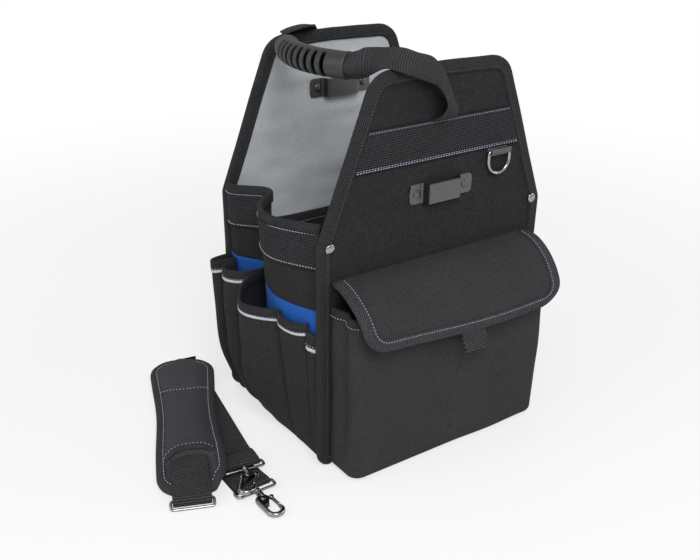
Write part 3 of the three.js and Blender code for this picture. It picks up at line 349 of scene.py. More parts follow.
def lathe(name, profile, kind, at=(0, 0, 0), tilt=0):
    """A turned solid from [radius, height] points, tilted by degrees about X and set at a point."""
    profile = np.asarray(profile, float)
    n = len(profile)
    rings = [np.insert(circle(radius, LATHE_SIDES), 2, height, axis=1) for radius, height in profile]
    faces = net(n, LATHE_SIDES, around=True).tolist()
    faces += [list(range(LATHE_SIDES))[::-1], list(range(n * LATHE_SIDES))[-LATHE_SIDES:]]
    angles = np.linspace(0, 2 * math.pi, LATHE_SIDES, endpoint=False)
    uvs = np.stack(np.meshgrid(angles * profile[:, 0].max(), lengths(profile)), axis=-1).reshape(-1, 2)
    obj = piece(name, np.concatenate(rings), faces, uvs, kind)
    obj.data.transform(Matrix.Translation(Vector(at) * MM) @ Matrix.Rotation(math.radians(tilt), 4, "X"))
    return obj


def binding(name, lip, down, out, depth, front, back, thickness, kind="tape"):
    """Tape folded over the lip of a sheet that lies from out=front to out=back; down and out are
    directions at each point of the lip."""
    high, low = front + thickness, back - thickness
    half = (high - low) / 2
    crown = arc(half, 0, math.pi, 9)
    crown = np.stack((0.9 * (half - crown[:, 1]) - thickness, (high + low) / 2 + crown[:, 0]), axis=1)
    outer = [(depth + 0.25, front + thickness * 0.4), (depth - 0.3, high), (depth * 0.55, high + 0.1)]
    inner = [(depth * 0.55, low - 0.1), (depth - 0.3, low), (depth + 0.25, back - thickness * 0.4)]
    return sweep(name, lip, down, out, [*outer, *crown, *inner], kind)


# Rows of stitches are gathered here by body and thread, and become one piece for each pair
SEAMS = {}
STITCH_LIFT = 0.12
STITCH_SWING = 0.09
STITCH_SIDES = 6
# Rings of one stitch: place along it and size, as shares of its half length and radius, and how far it sinks
STITCH_RINGS = (
    (-1.0, 0.0, -0.9), (-0.86, 0.62, -0.35), (-0.4, 1.0, 0.0),
    (0.4, 1.0, 0.0), (0.86, 0.62, -0.35), (1.0, 0.0, -0.9),
)


def stitch(path, out, thread, body="bag", pitch=3.1, length=0.62, radius=0.36):
    """Gathers a row of stitches along a path on a surface that faces out."""
    path = np.asarray(path, float)
    total = lengths(path)[-1]
    count = max(int(total / pitch), 1)
    step = total / count
    centres = (np.arange(count) + 0.5) * step
    points = resample(path, centres)
    ahead, behind = (resample(path, np.clip(centres + reach, 0, total)) for reach in (0.4, -0.4))
    along = unit(ahead - behind)
    up = unit(resample(path, centres, np.broadcast_to(np.asarray(out, float), path.shape)))
    across = unit(np.cross(up, along))
    swing = np.array([STITCH_SWING * noise(Vector((i * 0.73, total * 0.01, 0.5))) for i in range(count)])
    along = unit(along + across * swing[:, None])
    row = (points + up * STITCH_LIFT, along, np.cross(up, along), up, step * length / 2, radius)
    SEAMS.setdefault((body, thread), []).append(row)


def sew():
    """Makes the gathered stitches into pieces."""
    lie, size, sink = (np.repeat(column, STITCH_SIDES)[:, None] for column in np.array(STITCH_RINGS).T)
    angles = 2 * math.pi * (np.arange(STITCH_SIDES) + 0.5) / STITCH_SIDES
    angles = np.tile(angles, len(STITCH_RINGS))[:, None]
    side, rise = np.cos(angles) * size, np.sin(angles) * size + sink
    quads = net(len(STITCH_RINGS), STITCH_SIDES, around=True)
    for (body, thread_name), groups in SEAMS.items():
        vertices = []
        for *directions, half, radius in groups:
            points, along, across, up = (d[:, None] for d in directions)
            shape = points + along * lie * half + across * side * radius + up * rise * radius
            vertices.append(shape.reshape(-1, 3))
        vertices = np.concatenate(vertices)
        starts = np.arange(0, len(vertices), len(side))
        faces = (quads + starts[:, None, None]).reshape(-1, 4).tolist()
        name = f"stitches_{thread_name}_{body}"
        place(piece(name, vertices, faces, vertices[:, :2], "thread_" + thread_name), body)


# Materials

class Nodes:
    """Short calls for a tree of shader nodes."""

    def __init__(self, tree):
        self.tree = tree

    def feed(self, socket, value):
        if isinstance(value, bpy.types.NodeSocket):
            self.tree.links.new(value, socket)
        else:
            socket.default_value = (*value, 1) if socket.type == "RGBA" else value

    def node(self, kind, inputs=None, **settings):
        """A node with its settings, and with values or other nodes' outputs as its inputs."""
        made = self.tree.nodes.new("ShaderNode" + kind)
        for key, value in settings.items():
            setattr(made, key, value)
        for key, value in (inputs or {}).items():
            self.feed(made.inputs[key], value)
        return made

    def math(self, operation, *values):
        return self.node("Math", dict(enumerate(values)), operation=operation).outputs[0]

    def times(self, a, b):
        return self.math("MULTIPLY", a, b)

    def fit(self, value, gain, base):
        return self.math("MULTIPLY_ADD", value, gain, base)

    def seen(self):
        """1 for camera rays, which see a white room, else 0."""
        return self.node("LightPath").outputs["Is Camera Ray"]


def new_material(name):
    material = bpy.data.materials.new(name)
    material.use_nodes = True
    material.node_tree.nodes.clear()
    return material


class Graph(Nodes):
    """The nodes of one material with the usual shader."""

    def __init__(self, name):
        self.material = new_material(name)
        super().__init__(self.material.node_tree)
        self.shader = self.node("BsdfPrincipled")
        self.node("OutputMaterial", {"Surface": self.shader.outputs["BSDF"]})

    def look(self, **values):
        """Feeds the shader's inputs, named with _ for a space, and gives the material."""
        for key, value in values.items():
            self.feed(self.shader.inputs[key.replace("_", " ")], value)
        return self.material

    def mix(self, share, a, b, data_type="RGBA"):
        return self.node("Mix", {"Factor": share, "A": a, "B": b}, data_type=data_type).outputs["Result"]

    def places(self, source="UV"):
        """Two lengths in millimetres over the surface."""
        split = self.node("SeparateXYZ", {0: self.node("TexCoord").outputs[source]})
        return [self.times(split.outputs[axis], 1 / MM) for axis in (0, 1)]

    def cloud(self, size, detail=2.0, stretch=1.0):
        """Soft noise from 0 to 1, in patches of a size in millimetres. A stretch draws them out along a
        slanting line of the upright plane, as the soft folds of a lining."""
        point = self.node("TexCoord").outputs["Object"]
        if stretch > 1:
            slant = {"Vector": point, "Rotation": (0.0, math.radians(24), 0.0), "Scale": (1.0, 1.0, stretch)}
            point = self.node("Mapping", slant).outputs[0]
        patches = {"Scale": 1 / MM / (size * stretch), "Detail": detail, "Vector": point}
        return self.node("TexNoise", patches).outputs["Fac"]

    def painted_shade(self):
        """The painted shade from 0 to 1 that the mesh carries, 1 where it is darkest, as in the grip's deep
        grooves.
        """
        return self.node("Attribute", attribute_name="shade").outputs["Fac"]

    def bump(self, height, depth):
        """The surface raised by height, 0 to 1, times a depth in millimetres."""
        relief = self.node("Bump", {"Strength": 1.0, "Distance": depth * MM, "Height": height})
        self.look(Normal=relief.outputs["Normal"])

    def sine(self, value, pitch):
        return self.math("SINE", self.times(value, math.pi / pitch))

    def wave(self, value, pitch):
        """The absolute sine of a length over a pitch, one hump for each pitch."""
        return self.math("ABSOLUTE", self.sine(value, pitch))


def weave_basket(g, u, v, pitch):
    """Over and under threads, as in ballistic nylon."""
    a, b = g.sine(u, pitch), g.sine(v, pitch)
    over = g.math("GREATER_THAN", g.times(a, b), 0.0)
    return g.mix(over, g.math("ABSOLUTE", a), g.math("ABSOLUTE", b), "FLOAT")


def weave_twill(g, u, v, pitch):
    """Diagonal lines broken into threads."""
    diagonal = g.wave(g.math("ADD", u, v), pitch * 1.4)
    threads = g.wave(g.math("SUBTRACT", u, v), pitch * 0.7)
    return g.times(diagonal, g.fit(threads, 0.35, 0.65))


def weave_herringbone(g, u, v, pitch):
    """Diagonal lines that turn back in narrow stripes, as in binding tape."""
    fold = g.math("PINGPONG", u, pitch * 2.2)
    diagonal = g.wave(g.math("ADD", v, g.times(fold, 1.1)), pitch)
    return g.times(diagonal, g.fit(g.wave(u, pitch * 0.6), 0.3, 0.7))


def weave_waffle(g, u, v, pitch):
    """Small raised cells in rows, each row set half a cell on, as in heavy webbing."""
    row = g.math("FLOOR", g.math("DIVIDE", v, pitch))
    cells = g.wave(g.math("ADD", u, g.times(row, pitch * 0.5)), pitch)
    return g.times(cells, g.wave(v, pitch))


def weave_rib(g, u, v, pitch):
    """Ribs across the webbing with the threads between them."""
    ribs = g.math("POWER", g.wave(v, pitch), 0.7)
    threads = g.wave(g.math("ADD", u, g.times(v, 0.5)), 1.3)
    return g.times(ribs, g.fit(threads, 0.25, 0.75))


def tinted(colour, gain):
    return tuple(c * gain for c in colour)


def fabric(name, colour, weave, pitch, depth, contrast, roughness=0.9, source="UV", grain=0.45, folds=0.0):
    """Cloth with a weave: valleys painted darker as their shade and ridges painted lighter as their light, in
    soft uneven patches.
    """
    g = Graph(name)
    height = weave(g, *g.places(source), pitch)
    # Painted shade in the weave's valleys and painted light on its ridges
    woven = g.mix(height, tinted(colour, 1 - contrast), tinted(colour, 1 + contrast * 1.3))
    patches = g.fit(g.cloud(46, 3.0), 0.28, 0.86)
    lint = g.fit(g.cloud(3.4), grain * 2, 1 - grain)
    hue = g.node("VectorMath", operation="SCALE")
    g.feed(hue.inputs[0], woven)
    g.feed(hue.inputs["Scale"], g.times(patches, lint))
    relief = g.math("ADD", height, g.times(g.cloud(9), 0.9))
    if folds:
        relief = g.math("ADD", relief, g.times(g.cloud(34, 1.0, stretch=3.2), folds / depth))
    g.bump(relief, depth)
    return g.look(
        Base_Color=hue.outputs[0], Roughness=g.fit(height, -0.12, roughness + 0.06),
        Sheen_Weight=0.02, Sheen_Roughness=0.5, Specular_IOR_Level=0.1,
    )


def metal(name, colour, roughness):
    """Plated steel, slightly uneven, with a fine bump, and painted shade where the mesh carries it, as on the
    clip's side walls.
    """
    g = Graph(name)
    plating = g.mix(g.cloud(6, 3.0), tinted(colour, 0.86), colour)
    g.bump(g.cloud(2.2), 0.01)
    return g.look(
        Base_Color=g.mix(g.painted_shade(), plating, (0.02, 0.02, 0.02)), Metallic=1.0,
        Roughness=g.fit(g.cloud(1.1), roughness * 0.7, roughness * 0.65),
    )


def rubber(name, colour):
    """Moulded rubber with a fine matt grain, and painted shade that darkens its grooves and takes away their
    reflection.
    """
    g = Graph(name)
    uneven = g.mix(g.cloud(14, 3.0), tinted(colour, 0.8), tinted(colour, 1.15))
    g.bump(g.cloud(0.9, 1.0), 0.05)
    return g.look(
        Base_Color=g.mix(g.painted_shade(), uneven, (0.0015, 0.0015, 0.0015)), Roughness=g.fit(g.cloud(3), 0.2, 0.4),
        Specular_IOR_Level=g.fit(g.painted_shade(), -0.5, 0.5),
    )


def thread(name, colour):
    """Twisted sewing thread."""
    g = Graph(name)
    twist = g.wave(g.math("ADD", *g.places("Object")), 0.5)
    return g.look(Base_Color=g.mix(twist, tinted(colour, 0.7), colour), Roughness=0.65, Sheen_Weight=0.1)


def beaded(name):
    """Light reflective tape, made of tiny beads."""
    g = Graph(name)
    beads = g.cloud(0.8, 1.0)
    g.bump(beads, 0.05)
    return g.look(
        Base_Color=g.mix(beads, (0.36, 0.37, 0.39), (0.56, 0.57, 0.59)), Roughness=g.fit(beads, 0.2, 0.4),
    )


# Kind: name, slot, colour, weave, its pitch and depth, contrast, and what else differs
CLOTHS = {
    "nylon": ("nylon", "nylon", (0.0185, 0.0185, 0.0195), weave_basket, 2.2, 0.30, 0.7, {}),
    "nylon_panel": ("nylon_panel", "nylon", (0.0150, 0.0150, 0.0160), weave_basket, 2.2, 0.30, 0.7, {}),
    # Front pocket and flap: the same nylon made lighter, as painted light for the light that falls on the
    # bag's front
    "nylon_front": (
        "nylon_front", "nylon", (0.029, 0.029, 0.0305), weave_twill, 2.0, 0.2, 0.24, {"grain": 0.3},
    ),
    "nylon_block": (
        "nylon_block", "nylon", (0.042, 0.042, 0.046), weave_basket, 1.7, 0.14, 0.3,
        {"source": "Object", "grain": 0.2},
    ),
    "tape": ("binding_tape", "binding", (0.019, 0.019, 0.0205), weave_herringbone, 2.8, 0.45, 0.95, {}),
    "tape_flap": ("flap_binding", "binding", (0.031, 0.031, 0.034), weave_herringbone, 2.6, 0.45, 0.9, {}),
    "pad_tape": (
        "pad_binding", "binding", (0.030, 0.030, 0.033), weave_basket, 1.2, 0.08, 0.3, {"grain": 0.2},
    ),
    "waffle": ("webbing_waffle", "webbing", (0.0245, 0.025, 0.0275), weave_waffle, 2.3, 0.5, 0.9, {}),
    "rib": ("webbing_ribbed", "webbing", (0.0225, 0.023, 0.0242), weave_rib, 2.3, 0.5, 0.8, {"grain": 0.3}),
    "strap": ("webbing_strap", "webbing", (0.037, 0.0365, 0.0395), weave_waffle, 2.3, 0.4, 0.95, {}),
    # Ring loops: webbing made lighter, as painted light against the shadow they lie in
    "loop": ("webbing_loop", "webbing", (0.075, 0.075, 0.08), weave_rib, 2.0, 0.4, 0.7, {"grain": 0.3}),
    "lining": (
        "lining_twill", "lining", (0.36, 0.38, 0.395), weave_twill, 2.6, 0.16, 0.3,
        {"roughness": 0.8, "grain": 0.1, "folds": 9.0},
    ),
    "blue": (
        "blue_cloth", "blue_cloth", (0.012, 0.075, 0.30), weave_basket, 1.4, 0.10, 0.3,
        {"roughness": 0.75, "grain": 0.15},
    ),
}
THREADS = {"white": (0.42, 0.44, 0.50), "dark": (0.045, 0.046, 0.052), "blue": (0.27, 0.31, 0.44)}

FINISHES = {kind: (fabric(name, *cut, **more), slot) for kind, (name, slot, *cut, more) in CLOTHS.items()}
for thread_name, thread_colour in THREADS.items():
    FINISHES["thread_" + thread_name] = thread("thread_" + thread_name, thread_colour), None
FINISHES["piping"] = beaded("reflective_piping"), None
FINISHES["nickel"] = metal("nickel", (0.150, 0.149, 0.150), 0.36), "nickel"
FINISHES["chrome"] = metal("chrome", (0.37, 0.37, 0.378), 0.16), "chrome"
FINISHES["gunmetal"] = metal("gunmetal", (0.085, 0.085, 0.088), 0.28), "chrome"
FINISHES["rubber"] = rubber("grip_rubber", (0.0235, 0.024, 0.0258)), "grip_rubber"


# Camera, stage and light

CAMERA_AT = (-0.5336, -0.7321, 0.5724)
CAMERA_YAW, CAMERA_PITCH, CAMERA_ROLL = (math.radians(a) for a in (34.2, 25.7, 0.7))
CAMERA_LENS = 47.58
FLOOR_SIZE = 6.0
# The floor that the camera sees turns from its shaded tone to white between two distances in metres
FLOOR_FADING = {"From Min": 0.35, "From Max": 1.3, "To Min": 0.62, "To Max": 1.0}
# Name, place, size and power of the lamps, which face a point half-way up the bag
LAMPS = (
    ("key", (-0.7, -1.5, 1.7), 1.3, 34),
    ("left", (-1.9, 0.1, 1.1), 1.2, 9),
    ("right", (1.7, -1.0, 0.9), 1.0, 8),
)


def make_camera():
    yaw, pitch, roll = CAMERA_YAW, CAMERA_PITCH, CAMERA_ROLL
    forward = Vector((math.sin(yaw) * math.cos(pitch), math.cos(yaw) * math.cos(pitch), -math.sin(pitch)))
    right = Vector((math.cos(yaw), -math.sin(yaw), 0))
    up = right.cross(forward)
    side = right * math.cos(roll) + up * math.sin(roll)
    top = up * math.cos(roll) - right * math.sin(roll)
    data = bpy.data.cameras.new("camera")
    data.lens = CAMERA_LENS
    data.sensor_width = 36
    camera = bpy.data.objects.new("camera", data)
    camera.matrix_world = Matrix.Translation(CAMERA_AT) @ Matrix((side, top, -forward)).transposed().to_4x4()
    bpy.context.scene.collection.objects.link(camera)
    bpy.context.scene.camera = camera


def make_stage():
    mesh = bpy.data.meshes.new("floor")
    shape = bmesh.new()
    bmesh.ops.create_grid(shape, x_segments=1, y_segments=1, size=FLOOR_SIZE)
    shape.to_mesh(mesh)
    shape.free()
    floor = bpy.data.objects.new("floor", mesh)
    floor.location.z = -0.0004
    material = new_material("floor")
    mesh.materials.append(material)
    nodes = Nodes(material.node_tree)
    diffuse = nodes.node("BsdfDiffuse", {"Color": (0.82, 0.82, 0.82)})
    glow = nodes.node("Emission", {"Strength": 1.0})
    point = nodes.node("TexCoord").outputs["Object"]
    distance = nodes.node("VectorMath", {0: point}, operation="LENGTH").outputs["Value"]
    fading = nodes.node("MapRange", {"Value": distance, **FLOOR_FADING}, interpolation_type="SMOOTHSTEP")
    share = nodes.times(nodes.seen(), fading.outputs["Result"])
    mix = nodes.node("MixShader", {0: share, 1: diffuse.outputs[0], 2: glow.outputs[0]})
    nodes.node("OutputMaterial", {0: mix.outputs[0]})
    bpy.context.scene.collection.objects.link(floor)


def make_light():
    world = bpy.data.worlds.new("studio")
    bpy.context.scene.world = world
    world.use_nodes = True
    nodes = Nodes(world.node_tree)
    background = world.node_tree.nodes["Background"]
    nodes.feed(background.inputs["Color"], (1, 1, 1))
    nodes.feed(background.inputs["Strength"], nodes.fit(nodes.seen(), 0.5, 0.5))
    for name, at, size, power in LAMPS:
        data = bpy.data.lights.new(name, "AREA")
        data.shape = "DISK"
        data.size = size
        data.energy = power
        lamp = bpy.data.objects.new(name, data)
        lamp.location = at
        lamp.rotation_euler = (Vector((0, 0, 0.2)) - Vector(at)).to_track_quat("-Z", "Y").to_euler()
        bpy.context.scene.collection.objects.link(lamp)


# Gables

PANEL_INSET = 2.0
TAPE_BACK, TAPE_FRONT = -87.4, -95.2
# The folded edge tape's section: [inwards from the edge, depth]
EDGE_TAPE = (
    (TAPE_WIDTH, -93.4), (TAPE_WIDTH - 0.5, -94.8), (8, -95.3), (3.5, -95.2), (1.4, -94.6), (0.3, -93.3),
    (0, -91.4), (0.3, -89.4), (1.4, -88.1), (3.5, -87.5), (8, TAPE_BACK), (TAPE_WIDTH - 0.5, -87.8),
    (TAPE_WIDTH, -89.2),
)
STRIP_FACE = -95.4
# Height, thread and radius of the rows of stitches along a strip
STRIP_SEAMS = (
    (STRIP_FOOT + 1.8, "white", 0.4), (STRIP_FOOT + 3.4, "blue", 0.36), (STRIP_TOP - 1.8, "blue", 0.38),
)


def gable_edge():
    """The right half of a gable's outline in [x, z], from the floor up to the crown, with outward normals."""
    half = WIDTH / 2
    corners = [(half - 14, 0.6), (half, 0.6), (half, SHOULDER), (TOP_HALF, HEIGHT - TOP_CROWN), (0, HEIGHT)]
    path = evenly(rounded(corners, [0, 14, 16, 28, 0]), 3.0)
    along = unit(np.gradient(path, axis=0))
    return path, np.stack((along[:, 1], -along[:, 0]), axis=1)


EDGE_PATH, EDGE_OUT = gable_edge()


def gable_half_width(z, inset):
    moved_in = EDGE_PATH - EDGE_OUT * inset
    return float(np.interp(z, moved_in[:, 1], moved_in[:, 0]))


def full_edge(inset=0.0):
    """The whole outline from the lower left to the lower right, with outward normals."""
    right = EDGE_PATH - EDGE_OUT * inset
    path = np.concatenate((right * (-1, 1), right[:-1][::-1]))
    normals = np.concatenate((EDGE_OUT * (-1, 1), EDGE_OUT[:-1][::-1]))
    normals[len(right) - 1] = (0, 1)
    return path, normals


def level_line(half, y, z, count):
    """Points across the bag at one depth and height."""
    return [(x, y, z) for x in np.linspace(-half, half, count)]


def gable_rows(y, foot):
    heights = np.linspace(foot, HEIGHT - PANEL_INSET - 0.4, 64)
    return np.array([level_line(gable_half_width(z, PANEL_INSET), y, z, 56) for z in heights])


def strip_line(y, z, count):
    return level_line(gable_half_width(z, TAPE_WIDTH + 0.3), y, z, count)


def turned(points, rear):
    """Points or directions of the front gable, turned to the rear one where asked."""
    return np.asarray(points) * (-1, -1, 1) if rear else np.asarray(points)


def make_gable(name, rear):
    rows = turned(ripple(gable_rows(-PANEL_OUTER, 2.8), 62, 0.3, 3.0 if rear else 0.0), rear)
    place(sheet(f"{name}_panel_cloth", rows, PANEL_CLOTH, "nylon_panel"), "bag", f"{name}_panel")
    rows = ripple(turned(gable_rows(-LINING_OUTER, 4.0), rear), 40, 0.9, 7.0)
    place(sheet(f"{name}_lining_cloth", rows, LINING_CLOTH, "lining"), "bag", f"{name}_lining")

    path, normals = full_edge()
    wobble = np.array([noise(Vector((p[0] / 30, p[1] / 30, 0.3))) for p in path]) * 0.35
    inwards = -np.insert(normals, 1, 0.0, axis=1)
    points = np.insert(path, 1, 0.0, axis=1) - inwards * wobble[:, None]
    ways = (turned(part, rear) for part in (points, inwards, (0.0, 1.0, 0.0)))
    place(sweep(f"{name}_edge_binding", *ways, EDGE_TAPE, "tape"), "bag", f"{name}_edge_tape")
    seam, _ = full_edge(TAPE_WIDTH - 3.0)
    for y, facing in ((TAPE_FRONT, -1.0), (TAPE_BACK, 1.0)):
        stitch(turned(np.insert(seam, 1, y, axis=1), rear), turned((0, facing, 0), rear), "dark")


def make_strip(name, rear):
    rows = np.array([strip_line(STRIP_FACE, z, 70) for z in np.linspace(STRIP_FOOT, STRIP_TOP, 12)])
    webbing = sheet(f"{name}_strip_webbing", turned(ripple(rows, 34, 0.3, 5.0), rear), WEBBING, "waffle")
    place(webbing, "bag", f"{name}_webbing_strip")
    for z, thread_name, radius in STRIP_SEAMS:
        line = turned(strip_line(STRIP_FACE - 0.2, z, 60), rear)
        stitch(line, turned((0, -1.0, 0), rear), thread_name, radius=radius)


# Radius and height of the rivets' heads
SHOULDER_RIVET = (4.9, 2.2)
CLIP_RIVET = (4.1, 1.5)
HOOK_RIVET = (2.6, 1.2)


def rivet_profile(radius, height):
    """A domed head on a short upright rim."""
    dome = arc(1, 0, math.pi / 2 * 0.97, 9) * (1, 0.65) + (0, 0.35)
    return np.array([(0.96, 0), (1, 0.15), *dome]) * (radius, height)


def make_rivets(name, rear):
    for side, sign in (("left", -1), ("right", 1)):
        at = turned((sign * (WIDTH / 2 - 12), -HALF_DEPTH - 0.3, SHOULDER), rear)
        head = f"{name}_{side}_rivet_head"
        obj = lathe(head, rivet_profile(*SHOULDER_RIVET), "chrome", at, -90 if rear else 90)
        place(obj, "bag", f"{name}_{side}_shoulder_rivet")


# The clip's strip of steel: [across, out], bent with the same radius at its four bends
CLIP_BEND = ((-37.5, 0), (-22.5, 0), (-19.5, 7.5), (17.5, 7.5), (22.5, 0), (37.5, 0))
CLIP_BEND_RADIUS = 1.6
CLIP_THICKNESS = 1.5
CLIP_HALF = 9.5
CLIP_CORNER = 4.0
CLIP_RIVET_X = 29


def make_clip(name, node, x0, z0, y0):
    """A bent steel clip whose middle stands out to the front."""
    path = evenly(rounded(CLIP_BEND, [0, *[CLIP_BEND_RADIUS] * 4, 0], step=15), 0.75)
    end = np.minimum(path[:, 0] - path[0, 0], path[-1, 0] - path[:, 0])
    past = np.maximum(CLIP_CORNER - end, 0)
    half = CLIP_HALF - CLIP_CORNER + np.sqrt(CLIP_CORNER**2 - past**2)
    x, out, half = (column[:, None] for column in (*path.T, half))
    rows = grid_of(x0 + x, y0 - out - CLIP_THICKNESS, z0 + half * np.linspace(-1, 1, 15))
    obj = sheet(f"{name}_plate", rows, CLIP_THICKNESS, "nickel", inside=(x0, y0 + 50, z0))
    crisp(obj, 38)
    # Painted shade on the side walls of the raised middle, for the dark reflection they show
    facing = np.zeros(len(obj.data.vertices) * 3)
    obj.data.vertices.foreach_get("normal", facing)
    shade(obj, 0.85 * smoothstep(np.abs(facing[0::3]), 0.45, 0.8))
    place(obj, "bag", node)
    for side, sign in (("left", -1), ("right", 1)):
        at = (x0 + sign * CLIP_RIVET_X, y0 - 1.4, z0)
        place(lathe(f"{name}_rivet_{side}", rivet_profile(*CLIP_RIVET), "nickel", at, 90), "bag")


RING_WIDTH = 30
RING_DROP = 23.0
RING_WIRE = 3.5
RING_X = 71.5
RING_Y = -(PANEL_OUTER + GAP + 1.3 + RING_WIRE / 2 + GAP)
RING_Z = STRIP_FOOT - RING_WIRE
LOOP_THICKNESS = 2.4


def make_ring(name, rear):
    half = (RING_WIDTH - RING_WIRE) / 2
    corners = [(-half, 0), (-half, -RING_DROP), (half, -RING_DROP), (half, 0)]
    outline = rounded(corners, [3, half, half, 3], closed=True) + (RING_X, RING_Z)
    path = turned(np.insert(outline, 1, RING_Y, axis=1), rear)
    ring = wire(f"{name}_d_ring_wire", path, RING_WIRE, "chrome", count=20)
    place(ring, f"{name}_ring", f"{name}_d_ring")
    outer = RING_WIRE / 2 + GAP + LOOP_THICKNESS
    tail = STRIP_FOOT - GAP - RING_Z
    round_wire = arc(outer, math.pi, 2 * math.pi, 17)
    line = [(-outer, tail), (-outer, tail * 0.5), *round_wire, (outer, tail * 0.5), (outer, tail)]
    centre = np.array((RING_X, RING_Y, RING_Z))
    rows = turned([centre + level_line(11.5, y, z, 12) for y, z in line], rear)
    loop = sheet(f"{name}_ring_webbing", rows, LOOP_THICKNESS, "loop", inside=turned(centre, rear))
    place(loop, "bag", f"{name}_ring_loop")


# Side walls and their pockets

WALL_PLAN = through([
    (-1.0, 3), (-0.66, 19), (-0.32, 27), (0.03, 17), (0.25, 0), (0.38, -12), (0.53, -12), (0.69, 0),
    (0.84, 10), (1.0, 8),
])
WALL_BINDING = 10.0
WALL_BAND = 34.0
WALL_COVER = 1.7


def wall_top(y):
    return lerp(258.0, 248.0, (y / INSIDE + 1) / 2)


def tape_foot(y):
    return wall_top(y) - WALL_BINDING


def wall_reach(y, z):
    return WALL_FOOT + WALL_PLAN(y / INSIDE) * np.maximum(z / wall_top(y), 0) ** 0.8


def wall_rows(sign, low, high, steps, margin=0.0):
    """Rows of a side wall from a low to a high level, where a level is a height or follows the depth y."""
    y = np.linspace(margin - INSIDE, INSIDE - margin, 90)
    low, high = (level(y) if callable(level) else level for level in (low, high))
    z = lerp(low, high, shares(steps))
    return grid_of(sign * wall_reach(y, z), y, z)


def make_wall(side, sign):
    liner = ripple(wall_rows(sign, 3.5, LINER_TOP, 40), 34, 0.8, 1.0)
    place(sheet(f"{side}_liner_cloth", liner, sign * WALL_CLOTH, "blue"), "bag", f"{side}_liner")
    wall = ripple(wall_rows(sign, LINER_TOP + GAP, lambda y: tape_foot(y) + 4, 34), 38, 1.0, 2.0)
    place(sheet(f"{side}_wall_cloth", wall, sign * WALL_CLOTH, "nylon_panel"), "bag", f"{side}_wall")
    band = wall_rows(sign, lambda y: tape_foot(y) - WALL_BAND, lambda y: tape_foot(y) + 3, 16, WALL_COVER)
    band = ripple(moved(band, -sign * 2.0), 30, 0.7, 2.0)
    place(sheet(f"{side}_band_webbing", band, sign * 1.4, "waffle"), "bag", f"{side}_webbing_band")
    lip_rows = ripple(wall_rows(sign, tape_foot, wall_top, 6, WALL_COVER), 26, 0.9, 4.0)
    lip = lip_rows[-1]
    out = normals_of(lip_rows)[-1] * -sign
    down = unit(lip_rows[0] - lip)
    tape = binding(f"{side}_top_binding", lip, down, out, WALL_BINDING, 0.4, -2.6, 1.2)
    place(tape, "bag", f"{side}_top_tape")
    stitch(lip + down * (WALL_BINDING - 1.9) + out * 1.75, out, "white", radius=0.42)
    out = normals_of(band)[1] * -sign
    stitch(band[1] + out * 0.2, out, "white", radius=0.42)


# From the front: share of the depth, how far the lip's ends lie below the liner's top edge, how far the
# lip sags and stands out, how far it leans to the rear, depth of the binding
SIDE_POCKETS = (
    (0.078, 23, 22, 0, 5, 1, 14.0),
    (0.209, 15, 15, 2, 6, 1, 10.5),
    (0.442, 13, 7, 6, 31, 2.3, 10.5),
    (0.193, 5, 5, 2, 26, 1, 10.5),
    (0.078, 2, 2, 0, 25, 1, 10.5),
)
POCKET_SEAM = 0.6
PIPING = ((2.0, 0.2), (1.6, 0.85), (0.6, 1.25), (-0.6, 1.25), (-1.6, 0.95), (-2.2, 0.2))


def pocket_rows(sign, start, width, front, rear, sag, bulge, lean):
    s = np.linspace(0, 1, max(int(width * 0.9), 22))
    s = lerp(s, 0.5 - 0.5 * np.cos(math.pi * s), 0.6)
    t = s ** (1 / lean) * (1 - s) + s * s
    y = start + t * width
    lip = LINER_TOP - lerp(front, rear, t) - sag * np.sin(math.pi * t)
    roundness = (1 - np.abs(2 * t**lean - 1) ** 2.6) ** (1 / 2.2)
    v = shares(44)
    z = lerp(4.0, lip, v)
    fullness = np.sin((math.pi / 2) * np.minimum(v * 1.9 + 0.08, 1))
    reach = wall_reach(y, z) + GAP + POCKET_CLOTH + bulge * fullness * roundness
    return grid_of(sign * reach, y, z)


def make_side_pockets(side, sign):
    start = -INSIDE + POCKET_SEAM
    room = 2 * INSIDE - (len(SIDE_POCKETS) + 1) * POCKET_SEAM
    for i, (share, *shape, tape_depth) in enumerate(SIDE_POCKETS):
        width = share * room
        rows = pocket_rows(sign, start - POCKET_SEAM * 0.75, width + POCKET_SEAM * 1.5, *shape)
        rows = ripple(rows, 26, 1.2 if width > 30 else 0.4, i * 3.0)
        name = f"{side}_pocket_{i + 1}"
        cloth = sheet(f"{name}_cloth", rows, sign * POCKET_CLOTH, "nylon")
        place(cloth, "bag", f"{side}_tool_pocket_{i + 1}")
        facing = normals_of(rows) * -sign
        lip, out = rows[-1], facing[-1]
        down = unit(rows[-3] - lip)
        place(binding(f"{name}_binding", lip, down, out, tape_depth, 0.1, -1.7, 0.9), "bag")
        depth = lengths(rows[::-1, rows.shape[1] // 2])[::-1]
        level = np.argmin(np.abs(depth - (tape_depth + 1.2)))
        place(sweep(f"{name}_piping", rows[level], -UP, facing[level], PIPING, "piping"), "bag")
        stitch(lip + down * (tape_depth - 1.9) + out * 1.1, out, "white", radius=0.34)
        start += width + POCKET_SEAM


INNER_HALF = 109
INNER_FOOT, INNER_TOP = 8.0, 200.0
INNER_DEPTH = 12


def make_inner_pocket():
    u, v = np.linspace(-1, 1, 70), shares(30)
    y = LINING_INNER - GAP - INNER_DEPTH * (np.minimum(v * 3, 1) * (1 - u**4))
    rows = ripple(grid_of(u * INNER_HALF, y, lerp(INNER_FOOT, INNER_TOP, v)), 30, 1.2, 9.0)
    place(sheet("inner_pocket_cloth", rows, -POCKET_CLOTH, "nylon"), "bag", "inner_pocket")
    lip, out = rows[-1], normals_of(rows)[-1]
    out = out * np.sign(-out[35, 1])
    place(binding("inner_pocket_binding", lip, -UP, out, 11.0, 1.7, -0.1, 0.9), "bag")
    stitch(lip - UP * 9 + out * 2.75, out, "blue", radius=0.4)


# Front pocket and flap

